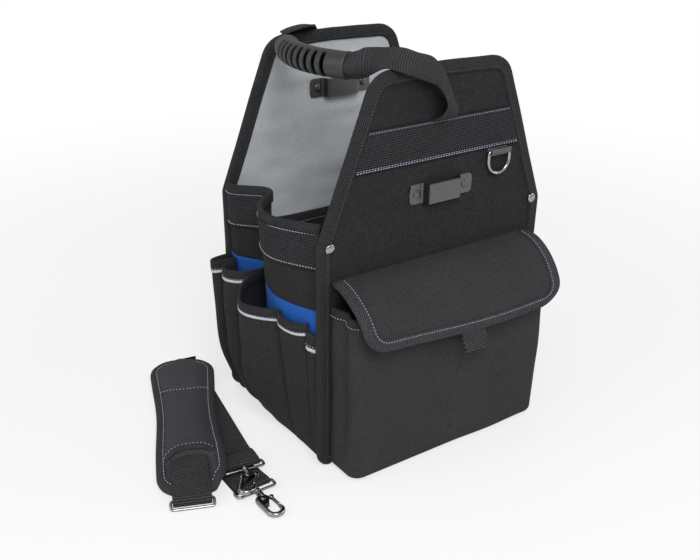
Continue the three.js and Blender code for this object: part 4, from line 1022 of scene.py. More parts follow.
TOE = 7.0
FRONT_BACK = PANEL_OUTER + GAP
FRONT_HALF = 120.0
FRONT_DEPTH = 40.0
FRONT_CORNER = 12
FRONT_TOP = 178
FRONT_FOOT = 0.6
FRONT_MIDDLE = (0, -110, 90)
GUSSET_START = 114
GUSSET_MIDDLE = 112
GUSSET_REACH = 7
GUSSET_DEPTH = 5.0


def front_pocket_plan(z):
    """The pocket's outline at a height, with its toe rounded in and its middle a little full."""
    toe = TOE - math.sqrt(TOE**2 - max(TOE - z, 0) ** 2)
    half = FRONT_HALF - toe
    front = FRONT_BACK + FRONT_DEPTH + 3.0 * math.sin(math.pi * z / FRONT_TOP) - toe
    corners = [(-half, -FRONT_BACK), (-half, -front), (half, -front), (half, -FRONT_BACK)]
    return rounded(corners, [0, FRONT_CORNER, FRONT_CORNER, 0])


def make_front_pocket():
    rows = []
    for z in np.concatenate((np.linspace(FRONT_FOOT, TOE, 8), np.linspace(TOE, FRONT_TOP, 46)[1:])):
        plan = front_pocket_plan(z)
        rows.append(np.insert(resample(plan, np.linspace(0, lengths(plan)[-1], 150)), 2, z, axis=1))
    rows = ripple(np.array(rows), 55, 1.4, 12.0)
    # Each side is folded inwards along its middle
    x, y, z = np.moveaxis(rows, -1, 0)
    gusset = np.clip((np.abs(x) - GUSSET_START) / 4, 0, 1)
    groove = np.exp(-((y + GUSSET_MIDDLE) / GUSSET_REACH) ** 2) * smoothstep(z, 2, 60)
    rows[..., 0] -= np.sign(x) * gusset * groove * GUSSET_DEPTH
    cloth = sheet("front_pocket_cloth", rows, WALL_CLOTH, "nylon_front", inside=FRONT_MIDDLE)
    place(cloth, "bag", "front_pocket")
    back = np.array((0, -FRONT_BACK, FRONT_FOOT))
    edge = np.insert(front_pocket_plan(FRONT_FOOT), 2, FRONT_FOOT, axis=1) - back
    base = np.array([back + edge * (share, share, 0) for share in (1.0, 0.97, 0.7, 0.4, 0.1)])
    place(sheet("front_pocket_floor", base, 2.0, "nylon", inside=FRONT_MIDDLE), "bag")
    lip = rows[-1]
    out = normals_of(rows)[-1] * outward_sign(rows, FRONT_MIDDLE)
    place(binding("front_pocket_binding", lip, -UP, out, 9.0, 0.1, -2.3, 0.9), "bag")
    stitch(lip - UP * 7.2 + out * 1.1, out, "white")


FLAP_HALF = 120.0
FLAP_CORNER = 26.0
FLAP_LEFT_RAISE = 9.0
FLAP_SEAM = (-PANEL_OUTER - 0.6, 203.0)
FLAP_REACH = 58.0
# The flap's fall from its seam: share of its reach, height
FLAP_PROFILE = ((0, 1.2), (0.33, -1.8), (0.64, -12), (0.88, -27.6), (1, -43.2), (1, -60))
FLAP_INSIDE = (0, -100, 150)
# The pull tab's place across, and how far its end stands to the right and out
TAB_X = 6
TAB_HALF = 13.5
TAB_LENGTH = 21.5
TAB_LEAN = (3, 5.0)


def flap_rows(curve, distances, total):
    rows = []
    for d, at in zip(distances, resample(curve, distances)):
        past = max(d - (total - FLAP_CORNER), 0)
        half = FLAP_HALF - (FLAP_CORNER - math.sqrt(max(FLAP_CORNER**2 - past**2, 0)))
        rows.append(level_line(half, at[1], at[2], 90))
    rows = np.array(rows)
    raised = smoothstep(-rows[..., 0], -30, 115) * smoothstep(distances, 25, total)[:, None]
    rows[..., 2] += FLAP_LEFT_RAISE * raised
    hold = smoothstep(np.arange(len(rows)), 1, 8)[:, None, None]
    return lerp(rows, ripple(rows, 60, 1.3, 20.0), hold)


def make_flap():
    seam_y, seam_z = FLAP_SEAM
    curve = [(0, seam_y - out * FLAP_REACH, seam_z + down) for out, down in FLAP_PROFILE]
    curve = spline(curve, np.linspace(0, 1, 400))
    total = lengths(curve)[-1]
    straight = total - FLAP_CORNER
    corner = straight + FLAP_CORNER * np.sin(np.linspace(0, math.pi / 2 * 0.985, 18))[1:]
    distances = np.concatenate((np.linspace(0, straight, 26), corner))
    rows = flap_rows(curve, distances, total)
    cloth = sheet("front_flap_cloth", rows, PANEL_CLOTH, "nylon_front", inside=FLAP_INSIDE)
    place(cloth, "flap", "front_flap")

    bend = [
        (FLAP_CORNER * (1 - math.cos(a)) - FLAP_HALF, straight + FLAP_CORNER * math.sin(a))
        for a in np.linspace(0, math.pi / 2, 16)[1:]
    ]
    left = [(-FLAP_HALF, d) for d in np.linspace(4, straight, 30)] + bend
    lower = [(x, total) for x in np.linspace(FLAP_CORNER - FLAP_HALF, FLAP_HALF - FLAP_CORNER, 60)[1:-1]]
    edge = np.array(left + lower + [(-x, d) for x, d in reversed(left)])
    surface = normals_of(rows) * outward_sign(rows, FLAP_INSIDE)

    def on_flap(x, d):
        """A point of the flap and its outward direction, by distance across and along."""
        i = float(np.interp(d, distances, np.arange(len(distances))))
        low = min(int(i), len(rows) - 2)
        row, facing = (lerp(grid[low], grid[low + 1], min(i - low, 1.0)) for grid in (rows, surface))
        point, direction = (
            np.array([np.interp(x, row[:, 0], column) for column in grid.T]) for grid in (row, facing)
        )
        point[0] = x
        return point, unit(direction)

    along = unit(np.gradient(edge, axis=0))
    lip, out, inwards = [], [], []
    for (x, d), (step_x, step_d) in zip(edge, np.stack((along[:, 1], -along[:, 0]), axis=1)):
        p, n = on_flap(x, min(d, total))
        q, _ = on_flap(x + step_x * 4, min(d + step_d * 4, total))
        lip.append(p)
        out.append(n)
        inwards.append(unit(q - p) if np.linalg.norm(q - p) > 0.5 else unit((step_x, 0, -step_d)))
    lip, out, inwards = np.array(lip), np.array(out), np.array(inwards)
    tape = binding("flap_edge_binding", lip, inwards, out, 12.0, 0.2, -3.4, 1.0, "tape_flap")
    place(tape, "flap", "flap_edge_tape")
    stitch(lip + inwards * 9.8 + out * 1.3, out, "blue", "flap", radius=0.42)

    v = shares(20)
    x = np.linspace(-TAB_HALF, TAB_HALF, 16) + TAB_LEAN[0] * v
    rows = grid_of(x, -TAB_LEAN[1] * v**1.5, -TAB_LENGTH * v) + curve[-1] + (TAB_X, 0.6, 3)
    place(sheet("flap_pull_webbing", rows, 3.0, "strap", inside=(TAB_X, 0, 130)), "flap", "flap_pull_tab")


# Handle

# The front arm's webbing at stations along it: left edge, middle and right edge, each [x from the
# handle's middle, out from the gable, up from its top]
HANDLE_ROUTE = (
    ((-13.2, 13, -44.8), (-0.7, 9, -45.3), (12.9, 2.5, -45.1)),
    ((-12.2, 19, -34.9), (-3.3, 14, -34.6), (7.6, 3, -35.4)),
    ((-14, 15, -24.4), (-7.3, 13, -23.5), (1.1, 3.5, -23.9)),
    ((-18, 11, -17.4), (-13, 12, -12.3), (-4.8, 4, -12.2)),
    ((-24.9, 9, -14), (-18.3, 9, -6.5), (-9.6, 3, -4.3)),
    ((-34, 7, -10.5), (-26.5, 5, -2), (-14.8, -3, 3.5)),
    ((-45.9, 5.5, -6), (-37.7, 1.5, 3), (-22.9, -13, 5.8)),
    ((-57.6, 4.5, -2), (-47.5, -7, 5), (-31.8, -22, 9.3)),
    ((-62.5, -9, -1.5), (-56, -17, 4.8), (-41.7, -28, 10.4)),
)
HANDLE_SKIN = 1.8
REAR_ARM_DROP = 3.0
REAR_ARM_NARROWS = 7.0
# The sleeve round the grip's end: distance from it, half height, bulge outwards, opening inwards
SLEEVE_STEPS = ((18.5, 11.9, 9.9, -3), (10, 11.3, 11, 0), (1, 10.4, 10.4, 2))
SLEEVE_LENGTH = SLEEVE_STEPS[0][0]
FRONT_SLEEVE_RISE = 5.4
GRIP_HALF = 54.0
GRIP_BOW = 13.0
GRIP_RADIUS = 12.4
GRIP_SINK = 5.0
GRIP_X = HANDLE_X - 77
GRIP_TILT = math.radians(-1.7)


def grip_point(t):
    """A point of the bowed grip's axis, t from 0 at the front to 1 at the rear."""
    radius = (GRIP_HALF**2 + GRIP_BOW**2) / (2 * GRIP_BOW)
    angle = lerp(-1, 1, t) * math.asin(GRIP_HALF / radius)
    x = GRIP_X - radius * math.cos(angle) + radius - GRIP_BOW
    y = radius * math.sin(angle)
    return np.array((x, y * math.cos(GRIP_TILT), HEIGHT - GRIP_SINK + y * math.sin(GRIP_TILT)))


def handle_rows(sign):
    """Rows across the webbing of one arm, from its strip into the sleeve; sign is -1 for the front."""
    rear = sign > 0
    flat = PANEL_OUTER + GAP + HANDLE_SKIN - HALF_DEPTH
    root = [(share * 13.5, flat, STRIP_TOP + GAP - HEIGHT) for share in (-1, 0, 1)]
    stations = np.array((root, *HANDLE_ROUTE), float) * (1, sign, 1) + (HANDLE_X, sign * HALF_DEPTH, HEIGHT)
    if rear:
        order = np.arange(len(HANDLE_ROUTE))
        stations[1:, 2, 2] -= REAR_ARM_DROP * np.maximum(2 * order / order[-1] - 1, 0)
        stations[1:, 2, 0] -= REAR_ARM_NARROWS * smoothstep(order, 2.5, 4.5)
    drop, lift = (REAR_ARM_DROP, 0.0) if rear else (0.0, FRONT_SLEEVE_RISE)
    t = 1.0 if rear else 0.0
    end = grip_point(t)
    along = unit(grip_point(t + sign * 0.01) - end)
    out = unit(np.cross((0, 0, sign), along))
    sleeve = []
    for distance, height, bulge, opening in SLEEVE_STEPS:
        part = distance / SLEEVE_LENGTH
        centre = end + along * distance + UP * lift * part**1.5
        low = centre - UP * height - out * opening
        sleeve.append((low, centre + out * bulge, centre + UP * (height - drop * part) - out * opening))
    stations = np.concatenate((stations, sleeve))
    left, middle, right = (spline(stations[:, i], np.linspace(0, 1, 110)) for i in range(3))
    u = np.linspace(0, 1, 26)[:, None]
    left, middle, right = (edge[:, None] for edge in (left, middle, right))
    return left * (1 - u) * (1 - 2 * u) + middle * 4 * u * (1 - u) + right * u * (2 * u - 1)


def make_handle():
    for name, sign in (("front", -1), ("rear", 1)):
        rows = ripple(handle_rows(sign), 20, 0.4, 30.0)
        webbing = sheet(f"{name}_handle_webbing", rows, sign * HANDLE_SKIN, "rib")
        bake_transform(webbing)
        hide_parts(f"{name}_handle_strap", f"{name}_handle_arm")


GRIP_COLLAR = 21.0
GRIP_RIBS = 7
GROOVE_DEPTH = 5.0
GROOVE_HALF = 2.15
# The collar's lip: distance from the grip's end, and radius beyond the grip's own
GRIP_LIP = ((0, -4.5), (0.05, -1.6), (0.3, -0.3), (1.0, 0.25), (2.2, 0.25), (3.2, 0.05), (4.4, 0))
# One side of a finger groove: distance beyond its half width, and share of its depth
GROOVE_SIDE = ((0.5, 0.0), (0.1, 0.06), (-0.1, 0.5), (-0.4, 1.0))


def make_grip():
    length = 2 * GRIP_HALF
    pitch = (length - 2 * GRIP_COLLAR) / GRIP_RIBS
    # Distance along the grip, radius beyond its own, and depth of its finger grooves
    collar = [(a, extra, 0) for a, extra in GRIP_LIP]
    collar += [(a, 0, 0) for a in np.linspace(6, GRIP_COLLAR - 4, 5)]
    profile = list(collar)
    for i in range(GRIP_RIBS + 1):
        middle = GRIP_COLLAR + i * pitch
        side = [(GROOVE_HALF + beyond, share * GROOVE_DEPTH) for beyond, share in GROOVE_SIDE]
        profile += [(middle - across, 0, deep) for across, deep in side]
        profile += [(middle + across, 0, deep) for across, deep in reversed(side)]
    profile += [(length - a, extra, 0) for a, extra, _ in collar][::-1]
    round_section = circle(1, 48)
    round_the_hand = 1 - smoothstep(round_section[:, 1], 0.8, 0.94)
    path, sides, ups, sections, painted_shade = [], [], [], [], []
    for distance, extra, deep in profile:
        t = distance / length
        along = unit(grip_point(t + 0.01) - grip_point(t - 0.01))
        side = unit(np.cross(UP, along))
        path.append(grip_point(t))
        sides.append(side)
        ups.append(np.cross(along, side))
        sections.append(round_section * (GRIP_RADIUS + extra - deep * round_the_hand)[:, None])
        # Painted shade in the finger grooves, darkest towards their floor
        painted_shade.append(smoothstep(deep * round_the_hand / GROOVE_DEPTH, 0.03, 0.3))
    grip = sweep("grip_rubber_moulding", path, sides, ups, sections, "rubber")
    crisp(grip, 50)
    shade(grip, painted_shade)
    place(grip, "handle", "handle_grip")


# Shoulder pad, in its own frame: x across it, y along it

STRAP_WIDTH = 37.0
STRAP_THICKNESS = WEBBING
PAD_SEAT = 2 * STRAP_THICKNESS + 0.6
PAD_HALF = 125.0
PAD_CORNER = 29.0
PAD_CORNER_LIFT = 7.6
PAD_EDGE = 6.0
PAD_CROWN = 7.0
PAD_COVER_START = -66.0
PAD_COVER_STITCH = 50.0
PAD_WAIST = through([(-125, 34), (-62.5, 34), (12.5, 31.5), (93.75, 36), (125, 36)])
# Stretches along the pad with the number of rows in each, denser at its seams
PAD_ROWS = ((-PAD_HALF + 0.4, -96, 14), (-96, -50, 40), (-50, 40, 30), (40, 60, 14), (60, PAD_HALF - 0.4, 26))
PAD_COLUMNS = 34
PAD_BINDING = (
    (9.2, PAD_EDGE - 1.2), (8.8, PAD_EDGE + 0.5), (7.6, PAD_EDGE + 1.3), (4.6, PAD_EDGE + 1.8),
    (2.0, PAD_EDGE + 1.3), (0.3, PAD_EDGE - 0.2), (-0.3, PAD_EDGE - 2), (-0.3, 2.8), (0.4, 0.4),
    (2.5, -0.1), (8, 0.2), (8.3, 0.8),
)
MOUTH_BINDING = (
    (7.6, -0.5), (7.0, 0.9), (4.5, 1.7), (2.0, 1.8), (0.2, 1.1), (-0.9, -0.4), (-0.4, -2.2), (1.5, -2.6),
    (6, -1.8),
)
PAD_PITCH = 3.7


def pad_half_width(y):
    y = np.asarray(y, float)
    past = np.clip(np.abs(y) - (PAD_HALF - PAD_CORNER), 0, PAD_CORNER)
    return PAD_WAIST(y) - (PAD_CORNER - np.sqrt(np.maximum(PAD_CORNER**2 - past**2, 0)))


def pad_floor(x, y):
    """Height of the pad's underside, which lies on the webbing and rises at its near right corner."""
    edge = -2 + STRAP_WIDTH / 2
    lift = PAD_CORNER_LIFT * smoothstep(x, edge + 5, edge + 12) * smoothstep(-np.asarray(y, float), 30, 75)
    return PAD_SEAT + lift


def cover_start(x):
    """The cover's bound mouth, an arc that bows towards the middle of the pad and hangs lower on the left."""
    x = np.asarray(x, float)
    return PAD_COVER_START - np.where(x < 0, 15.0, 6.0) * (x / 30) ** 2


def on_pad(points):
    """Points of the pad's own frame in the row frame."""
    return spun(points, PAD_ANGLE) + (PAD_X, PAD_Y, 0)


def apply_modifiers(obj):
    bpy.context.view_layer.update()
    graph = bpy.context.evaluated_depsgraph_get()
    mesh = bpy.data.meshes.new_from_object(obj.evaluated_get(graph))
    old = obj.data
    obj.modifiers.clear()
    obj.data = mesh
    bpy.data.meshes.remove(old)


VOXEL = 0.0042
CLOTH_FRAMES = 20


def swell(obj, pinned, pressure, cap):
    """Inflates a closed cloth shell a little, holding its pinned points, with the result applied."""
    remesh = obj.modifiers.new("even", "REMESH")
    remesh.mode = "VOXEL"
    remesh.voxel_size = VOXEL
    apply_modifiers(obj)
    start = np.array([v.co for v in obj.data.vertices])
    group = obj.vertex_groups.new(name="held")
    group.add(np.flatnonzero(pinned(start / MM)).tolist(), 1.0, "REPLACE")
    cloth = obj.modifiers.new("cloth", "CLOTH")
    settings = cloth.settings
    settings.use_pressure = True
    settings.uniform_pressure_force = pressure
    settings.vertex_group_mass = group.name
    settings.effector_weights.gravity = 0
    settings.quality = 6
    cloth.collision_settings.use_collision = False
    scene = bpy.context.scene
    for number in range(1, CLOTH_FRAMES + 1):
        scene.frame_set(number)
    apply_modifiers(obj)
    scene.frame_set(1)
    shift = np.array([v.co for v in obj.data.vertices]) - start
    length = np.linalg.norm(shift, axis=1, keepdims=True)
    limited = start + shift * np.minimum(1, cap * MM / np.maximum(length, 1e-9))
    obj.data.vertices.foreach_set("co", limited.ravel())
    obj.data.update()


def pad_height(x, y, edge):
    """Height of the pad's face over its underside, with its seams, mouth and sewn channel."""
    seat = PAD_EDGE - 1.2 * smoothstep(edge, 7, 9)
    covered = smoothstep(y - cover_start(x), -1.2, 0.8)
    channel = np.exp(-(((y - PAD_COVER_STITCH) / 3.0) ** 2))
    ends = smoothstep(PAD_HALF - y, 2, 40)
    swelling = np.sqrt(smoothstep(edge, 9, 24))
    crown = PAD_CROWN * swelling * (0.45 + 0.55 * ends) * (1 - 0.75 * channel)
    layer = (STRAP_THICKNESS + 0.6) * smoothstep(edge, 8.5, 12)
    return seat + covered * (crown + layer)


def held_on_pad(points):
    """The pad's points that its bindings, stitches and foot hold still."""
    x, y, z = np.moveaxis(spun(points - (PAD_X, PAD_Y, 0), -PAD_ANGLE), -1, 0)
    edge = pad_half_width(np.clip(y, -PAD_HALF, PAD_HALF)) - np.abs(x)
    sewn = (np.abs(y - PAD_COVER_STITCH) < 2.5) | (y < cover_start(x) + 3)
    return (z < 8.5) | (edge < 10.5) | sewn


def settled(points, pad, lift):
    """Points of the row frame let down on the pad's face."""
    mesh = pad.data
    tree = BVHTree.FromPolygons([v.co / MM for v in mesh.vertices], [p.vertices for p in mesh.polygons])
    found = np.array(points, float)
    for point in found:
        hit = tree.ray_cast(Vector((point[0], point[1], 90)), Vector((0, 0, -1)))[0]
        if hit is not None:
            point[2] = hit[2] + lift
    return found


def make_cushion():
    spread = np.linspace(-1, 1, PAD_COLUMNS)
    spread = 0.35 * np.sin(spread * math.pi / 2) + 0.65 * spread
    low, top = [], []
    for y in np.unique(np.concatenate([np.linspace(*stretch) for stretch in PAD_ROWS])):
        reach = max(float(pad_half_width(y)), 1.0)
        x, y = spread * reach, np.full(PAD_COLUMNS, y)
        base = pad_floor(x, y)
        low.append(np.stack((x, y, base), axis=1))
        top.append(np.stack((x, y, base + pad_height(x, y, reach - np.abs(x))), axis=1))
    n, m = len(top), PAD_COLUMNS
    rim, quads = rim_of(n, m), net(n, m)
    faces = np.concatenate((quads, quads[:, ::-1] + n * m, strip_between(rim, rim + n * m)))
    vertices = on_pad(np.concatenate(top + low))
    pad = piece("shoulder_pad_cushion", vertices, faces.tolist(), vertices[:, :2], "nylon_block")
    swell(pad, held_on_pad, 3.0, 1.8)
    place(pad, "strap", "shoulder_pad")
    return pad


def make_pad():
    pad = make_cushion()
    ends = PAD_HALF - 0.2
    right = np.array([(float(pad_half_width(y)), y) for y in np.linspace(-ends, ends, 120)])
    edge = np.concatenate((right, (right * (-1, 1))[::-1], right[:1]))
    edge = evenly(edge, 3.0)[:-1]
    tangents = unit(np.roll(edge, -1, 0) - np.roll(edge, 1, 0))
    inwards = np.stack((-tangents[:, 1], tangents[:, 0], np.zeros(len(edge))), axis=1)
    points = np.column_stack((edge, pad_floor(*edge.T)))
    # Under the webbing the binding lies flat
    pressed = smoothstep(24 - np.abs(edge[:, 0] + 2), 0, 3) * smoothstep(-edge[:, 1], 98, 106)
    sections = np.tile(PAD_BINDING, (len(points), 1, 1))
    flat = np.minimum(sections[..., 1], PAD_EDGE - 0.8)
    sections[..., 1] = lerp(sections[..., 1], flat, pressed[:, None])
    ways = on_pad(points), spun(inwards, PAD_ANGLE), UP
    place(sweep("shoulder_pad_binding", *ways, sections, "pad_tape", closed=True), "strap")
    seam = (points + inwards * 7.2 + UP * (PAD_EDGE + 1.5))[pressed < 0.3]
    stitch(on_pad(seam), UP, "white", "strap", PAD_PITCH, 0.5, 0.44)

    x = np.linspace(-27, 26.5, 40)
    row = on_pad(pad_line(x, PAD_COVER_STITCH + 6.0 * (x / 27) ** 2))
    stitch(settled(row, pad, 0.2), UP, "white", "strap", PAD_PITCH, 0.52, 0.44)
    x = np.linspace(-26, 25.5, 44)
    lip = pad_line(x, cover_start(x) + 1.2)
    side = spun(np.cross(UP, unit(np.gradient(lip, axis=0))), PAD_ANGLE)
    place(sweep("pad_mouth_binding", on_pad(lip), side, UP, MOUTH_BINDING, "pad_tape"), "strap")
    stitch(on_pad(lip) + side * 5.8 + UP * 1.5, UP, "blue", "strap", PAD_PITCH, 0.56, 0.46)


def pad_line(x, y):
    """Points on the pad's face."""
    edge = pad_half_width(y) - np.abs(x)
    return np.stack((x, y, pad_floor(x, y) + pad_height(x, y, edge)), axis=1)


# Shoulder strap and its wire ring

STRAP_TOP = PAD_SEAT + PAD_EDGE + 0.3 + STRAP_THICKNESS / 2
STRAP_LOW = STRAP_THICKNESS / 2
SECOND_LAYER = 1.5 * STRAP_THICKNESS + 0.3
EYE_WIRE = 2.8
EYE_SPAN = 10.0
EYE_INNER = 38.2
LINK_SPAN = 9.0
EYE_FOLD = EYE_WIRE / 2 + 0.3 + STRAP_THICKNESS / 2
# Place of each hook's bar, its turn about +Z and its pitch
HOOK_ONE = (-200.0, -54.0, 7.3, math.radians(-9), math.radians(5))
HOOK_TWO = (-205.0, -85.0, 3.6, 0.0, 0.0)


def band_section():
    """Webbing's section with soft edges."""
    half, t = STRAP_WIDTH / 2, STRAP_THICKNESS / 2
    steps = np.linspace(-half + 0.9, half - 0.9, 9)
    upper = [(-half + 0.25, t * 0.75), *[(x, t) for x in steps], (half - 0.25, t * 0.75)]
    lower = [(x, -height) for x, height in reversed(upper)]
    return [(-half, 0), *upper, (half, 0), *lower]


def smooth_path(points):
    return spline(points, np.linspace(0, 1, len(points) * 6))


def strap_ribbon(name, origin, run, profile, *nodes):
    """Webbing along [distance, height] points in the upright plane through a direction."""
    direction = unit(run)
    across = np.cross(UP, direction)
    flat = evenly(smooth_path(profile), 2.0)
    path = origin * (1, 1, 0) + flat[:, :1] * direction + flat[:, 1:] * UP
    ups = np.cross(unit(np.gradient(path, axis=0)), across)
    place(sweep(name, path, across, ups, band_section(), "strap"), "strap", *nodes)


def fold(centre, z, radius, start, end):
    """Points of a fold, between two angles in quarter turns."""
    return [*arc(radius, start * math.pi / 2, end * math.pi / 2, 13) + (centre, z)]


def make_strap_run():
    """The webbing from the pad's rear end to the first hook's eye and back under itself."""
    pad_end = on_pad((0.0, PAD_HALF + 3.4, 0.0))
    run = (HOOK_ONE[0], HOOK_ONE[1], 0.0) - pad_end
    length = float(np.linalg.norm(run))
    eye_z = HOOK_ONE[2]
    low = eye_z - EYE_FOLD
    turn = (PAD_SEAT + PAD_EDGE * 0.6 - SECOND_LAYER) / 2
    profile = fold(-turn * 0.2, SECOND_LAYER + turn, turn, 1, 3)
    profile += [(length * s, SECOND_LAYER) for s in (0.1, 0.3, 0.5, 0.7)] + [(length - 36, SECOND_LAYER)]
    profile += [(length - 22, (SECOND_LAYER + low) / 2), (length - 8, low)]
    profile += fold(length, eye_z, EYE_FOLD, -1, 1)
    profile += [(length - 12, eye_z + EYE_FOLD - 1), (length - 22, low + STRAP_THICKNESS + 0.3)]
    strap_ribbon("strap_run_webbing", pad_end, run, profile, "strap_run")


def make_strap_tail():
    """The webbing from the pad's mouth round the wire ring, and its end under the pad to the second hook."""
    opening = on_pad((-2.0, PAD_COVER_START - 1.3 + 10, 0.0))
    turn = (STRAP_TOP - STRAP_LOW) / 2
    reach = PAD_HALF + PAD_COVER_START + 4 + 10
    profile = [(reach * share, STRAP_TOP) for share in (0, 0.3, 0.6, 0.85)]
    profile += fold(reach, STRAP_LOW + turn, turn, 1, -1)
    profile += [(reach - back, STRAP_LOW) for back in (30, 70, 112)]
    run = on_pad((-2.0, -PAD_HALF, 0.0)) - opening
    strap_ribbon("strap_tail_over_pad", opening, run, profile, "strap_tail")
    start = np.array((-205.0, 62.0, 0.0))
    run = (HOOK_TWO[0], HOOK_TWO[1], 0.0) - start
    length = float(np.linalg.norm(run))
    eye_z = HOOK_TWO[2]
    profile = [(0, STRAP_LOW), (length * 0.3, STRAP_LOW), (length * 0.6, STRAP_LOW), (length - 14, STRAP_LOW)]
    profile += fold(length, eye_z, EYE_FOLD, -1, 1)
    profile += [(length - 10, eye_z + EYE_FOLD - 1.6), (length - 26, SECOND_LAYER)]
    strap_ribbon("strap_tail_to_hook", start, run, profile)


def eye_path(span):
    """A rectangular wire eye's path, from the middle of its bar."""
    half = (EYE_INNER + EYE_WIRE) / 2
    return rounded([(-half, 0), (-half, -span), (half, -span), (half, 0)], [3] * 4, closed=True, step=10)


def make_strap_ring():
    turn = (STRAP_TOP - STRAP_LOW) / 2
    apex = PAD_HALF + 3 - 0.3 + turn - STRAP_LOW
    bar = STRAP_LOW + turn
    tilt = math.asin((bar - EYE_WIRE / 2) / LINK_SPAN)
    x, along = eye_path(LINK_SPAN).T
    y = along * math.cos(tilt) - (apex - EYE_WIRE / 2 - 0.6)
    path = on_pad(np.stack((x - 2, y, bar + along * math.sin(tilt)), axis=1))
    place(wire("strap_ring_wire", path, EYE_WIRE, "chrome"), "strap_link", "strap_ring")


# Hooks, each in its own frame: the bar of its eye lies along x, and the hook points to -y

def mirrored(profile):
    """Half of a section or turned profile, with its other half."""
    return [*profile, *[(x, -y) for x, y in reversed(profile)]]


BARREL_LENGTH = 7.0
BOW_LENGTH = 33.0
BOW_RADIUS = 9.4
BOW_WIRE = 4.6
BOW_THICKNESS = 5.4
BOW_HALF = BOW_THICKNESS / 2
HOOK_RISE = 0.11
BOSS_HALF = (EYE_WIRE + 1.2) / 2
BOSS = mirrored([(2.0, -BOSS_HALF), (3.1, -BOSS_HALF), (3.4, -BOSS_HALF + 0.4)])
STEM_HEAD = EYE_SPAN - BOSS_HALF - 0.3
STEM_NECK = EYE_SPAN + BOSS_HALF + 0.3
BOW_START = -STEM_NECK - BARREL_LENGTH
STEM = (
    (0.1, STEM_HEAD - 1.3), (1.6, STEM_HEAD - 1.3), (2.4, STEM_HEAD - 0.9), (2.5, STEM_HEAD),
    (1.3, STEM_HEAD), (1.3, STEM_NECK), (3.0, STEM_NECK), (3.4, STEM_NECK + 0.5), (3.4, STEM_NECK + 2.2),
    (3.0, STEM_NECK + 2.8), (3.3, STEM_NECK + 3.4), (3.4, -BOW_START), (2.6, -BOW_START + 2.2),
    (0.1, -BOW_START + 2.4),
)
GATE_PIVOT = (7.1, BOW_START - 5.2)
GATE_PRESS = math.radians(27)
PIN_RISE = BOW_HALF - 0.7
PIN = mirrored([(0.1, -PIN_RISE), (1.6, -PIN_RISE), (2.2, -PIN_RISE + 0.4)])
PLATE_RADIUS = 6.6
PLATE_X = -1.8
CAST_SECTION = np.sign(circle(1, 24)) * np.abs(circle(1, 24)) ** 0.75


def cast(name, path, wide, tall):
    """A cast bar with a soft square section, of a half width and half height at each point."""
    ups = np.broadcast_to(UP, path.shape)
    sections = CAST_SECTION * np.stack((wide, tall), axis=1)[:, None]
    return sweep(name, path, np.cross(unit(np.gradient(path, axis=0)), ups), ups, sections, "chrome")


def make_bow(name, lean, cover):
    centre_y = BOW_START - BOW_LENGTH + BOW_RADIUS
    middle = BOW_RADIUS - BOW_WIRE / 2
    spine = [
        (-middle * 0.6, BOW_START + cover - 2.5), (-middle * 0.9, BOW_START - 3), (-middle, BOW_START - 7),
        (-middle, centre_y + 4),
    ]
    hook = arc(middle, math.pi, 2 * math.pi + 0.32, 22) + (0, centre_y)
    line = evenly(smooth_path([*spine, *hook]), 0.8)
    leaning = smoothstep(-line[:, 1], -BOW_START, BOW_LENGTH - BOW_START)
    path = np.stack((line[:, 0] + lean * leaning, line[:, 1], HOOK_RISE * abs(lean) * leaning), axis=1)
    distance = lengths(path)
    total, half = distance[-1], BOW_WIRE / 2
    wide = np.interp(distance, [0, 8, total - 6, total], [2.6, half, half, half * 0.75])
    tall = BOW_HALF * np.interp(distance, [0, 8, total - 4, total], [1, 1, 0.92, 0.7])
    return cast(f"{name}_bow", path, wide, tall)


def make_plate(name, centre_y, pressed):
    """A teardrop plate on the hook's neck, which leaves the pressed gate free to swing in."""
    edge = [*arc(PLATE_RADIUS, 0, math.pi, 15) + (PLATE_X, centre_y)]
    way = np.array((math.sin(pressed), math.cos(pressed)))
    near = GATE_PIVOT + 2.6 * way[::-1] * (-1, 1)
    foot = near - min((near[0] + 3.5) / max(way[0], 0.05), 10.0 / way[1]) * way
    edge += [(-8.4, centre_y - 4), (-8.0, foot[1] - 0.5), (-6.5, foot[1] - 1.8), foot, lerp(foot, near, 0.8)]
    outline = evenly(rounded(edge, [0] * 15 + [2, 1.5, 1.5, 1.5, 2], closed=True), 0.7)
    middle = outline.mean(axis=0)
    levels = ((0.86, -BOW_HALF), (1.0, -BOW_HALF + 0.8), (1.0, BOW_HALF - 0.8), (0.86, BOW_HALF))
    sections = [middle + (outline - middle) * share for share, _ in levels]
    axes = (1.0, 0.0, 0.0), (0.0, 1.0, 0.0)
    plate = sweep(f"{name}_plate", [(0, 0, z) for _, z in levels], *axes, sections, "gunmetal")
    crisp(plate, 30)
    return plate


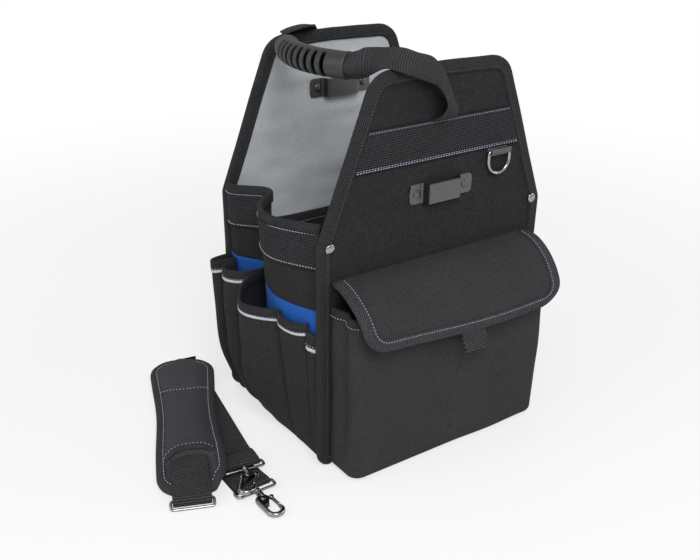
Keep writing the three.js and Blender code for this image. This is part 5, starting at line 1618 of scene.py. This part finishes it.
def make_hook(name, spot, lean, cover):
    """A swivel snap hook: wire eye with a boss, turned stem, cast bow that leans aside and sprung gate."""
    x, y, z, turn, pitch = spot
    matrix = Matrix.Translation(Vector((x, y, z)) * MM)
    matrix = matrix @ Matrix.Rotation(turn, 4, "Z") @ Matrix.Rotation(-pitch, 4, "X")

    def fit(obj, body, *nodes):
        obj.data.transform(matrix)
        place(obj, body, *nodes)

    eye = np.insert(eye_path(EYE_SPAN), 2, 0.0, axis=1)
    fit(wire(f"{name}_eye_wire", eye, EYE_WIRE, "chrome"), f"{name}_swivel_eye", f"{name}_eye")
    fit(lathe(f"{name}_eye_boss", BOSS, "chrome", (0, -EYE_SPAN, 0), 90), f"{name}_swivel_eye")
    fit(lathe(f"{name}_stem", STEM, "chrome", tilt=90), name, f"{name}_body")
    fit(make_bow(name, lean, cover), name)

    pivot_x, pivot_y = GATE_PIVOT
    nose = BOW_START - BOW_LENGTH + BOW_RADIUS + BOW_RADIUS * math.sin(0.35)
    lever_length = pivot_y - nose - 0.7
    lever_lean = lean * float(smoothstep(-nose, -BOW_START, BOW_LENGTH - BOW_START))
    centre_y = BOW_START + cover - 6.6
    fit(make_plate(name, centre_y, math.atan2(-lever_lean, lever_length) + GATE_PRESS), name)
    rivet_at = (PLATE_X, centre_y, BOW_HALF - 0.1)
    fit(lathe(f"{name}_rivet", rivet_profile(*HOOK_RIVET), "chrome", rivet_at), name)

    path = evenly(np.array([(pivot_x, pivot_y + 0.4, 0), (pivot_x, pivot_y - lever_length, 0)]), 1.0)
    path[:, 0] += lever_lean * smoothstep(pivot_y - path[:, 1], 0, lever_length)
    wide = np.interp(lengths(path), [0, 4, lever_length], [2.0, 1.3, 1.35])
    lever = cast(f"{name}_gate_lever", path, wide, np.full(len(wide), BOW_THICKNESS * 0.35))
    fit(lever, f"{name}_latch", f"{name}_gate")
    fit(lathe(f"{name}_gate_pin", PIN, "chrome", (pivot_x, pivot_y, 0)), f"{name}_latch")


BASE_HALF_WIDTH = 124.3
BASE_HALF_DEPTH = 88.9


def make_base():
    half = np.array((BASE_HALF_WIDTH, BASE_HALF_DEPTH))
    outline = rounded(half * ((-1, -1), (1, -1), (1, 1), (-1, 1)), [8] * 4, closed=True)
    outline = np.insert(np.concatenate((outline, outline[:1])), 2, 3.2, axis=1)
    rows = np.array([outline * (share, share, 1) for share in (1.0, 0.985, 0.9, 0.6, 0.3, 0.02)])
    obj = sheet("base_board_cloth", rows, 3.0, "nylon_block", inside=(0, 0, -100))
    place(obj, "bag", "base_board")


make_camera()
make_stage()
make_light()
for side_name, is_rear in (("front", False), ("rear", True)):
    make_gable(side_name, is_rear)
    make_strip(side_name, is_rear)
    make_rivets(side_name, is_rear)
    make_ring(side_name, is_rear)
make_clip("front_clip", "front_clip", 2.5, 271, -PANEL_OUTER - GAP)
make_clip("rear_clip", "rear_inner_clip", 8, 331.5, LINING_INNER - GAP)
make_base()
for side_name, side_sign in (("left", -1), ("right", 1)):
    make_wall(side_name, side_sign)
    make_side_pockets(side_name, side_sign)
make_inner_pocket()
make_front_pocket()
make_flap()
make_handle()
make_grip()
make_pad()
make_strap_run()
make_strap_tail()
make_strap_ring()
make_hook("hook_1", HOOK_ONE, -11.0, 2.6)
make_hook("hook_2", HOOK_TWO, 1.0, 1.0)
sew()

bpy.context.scene.view_settings.view_transform = "Standard"
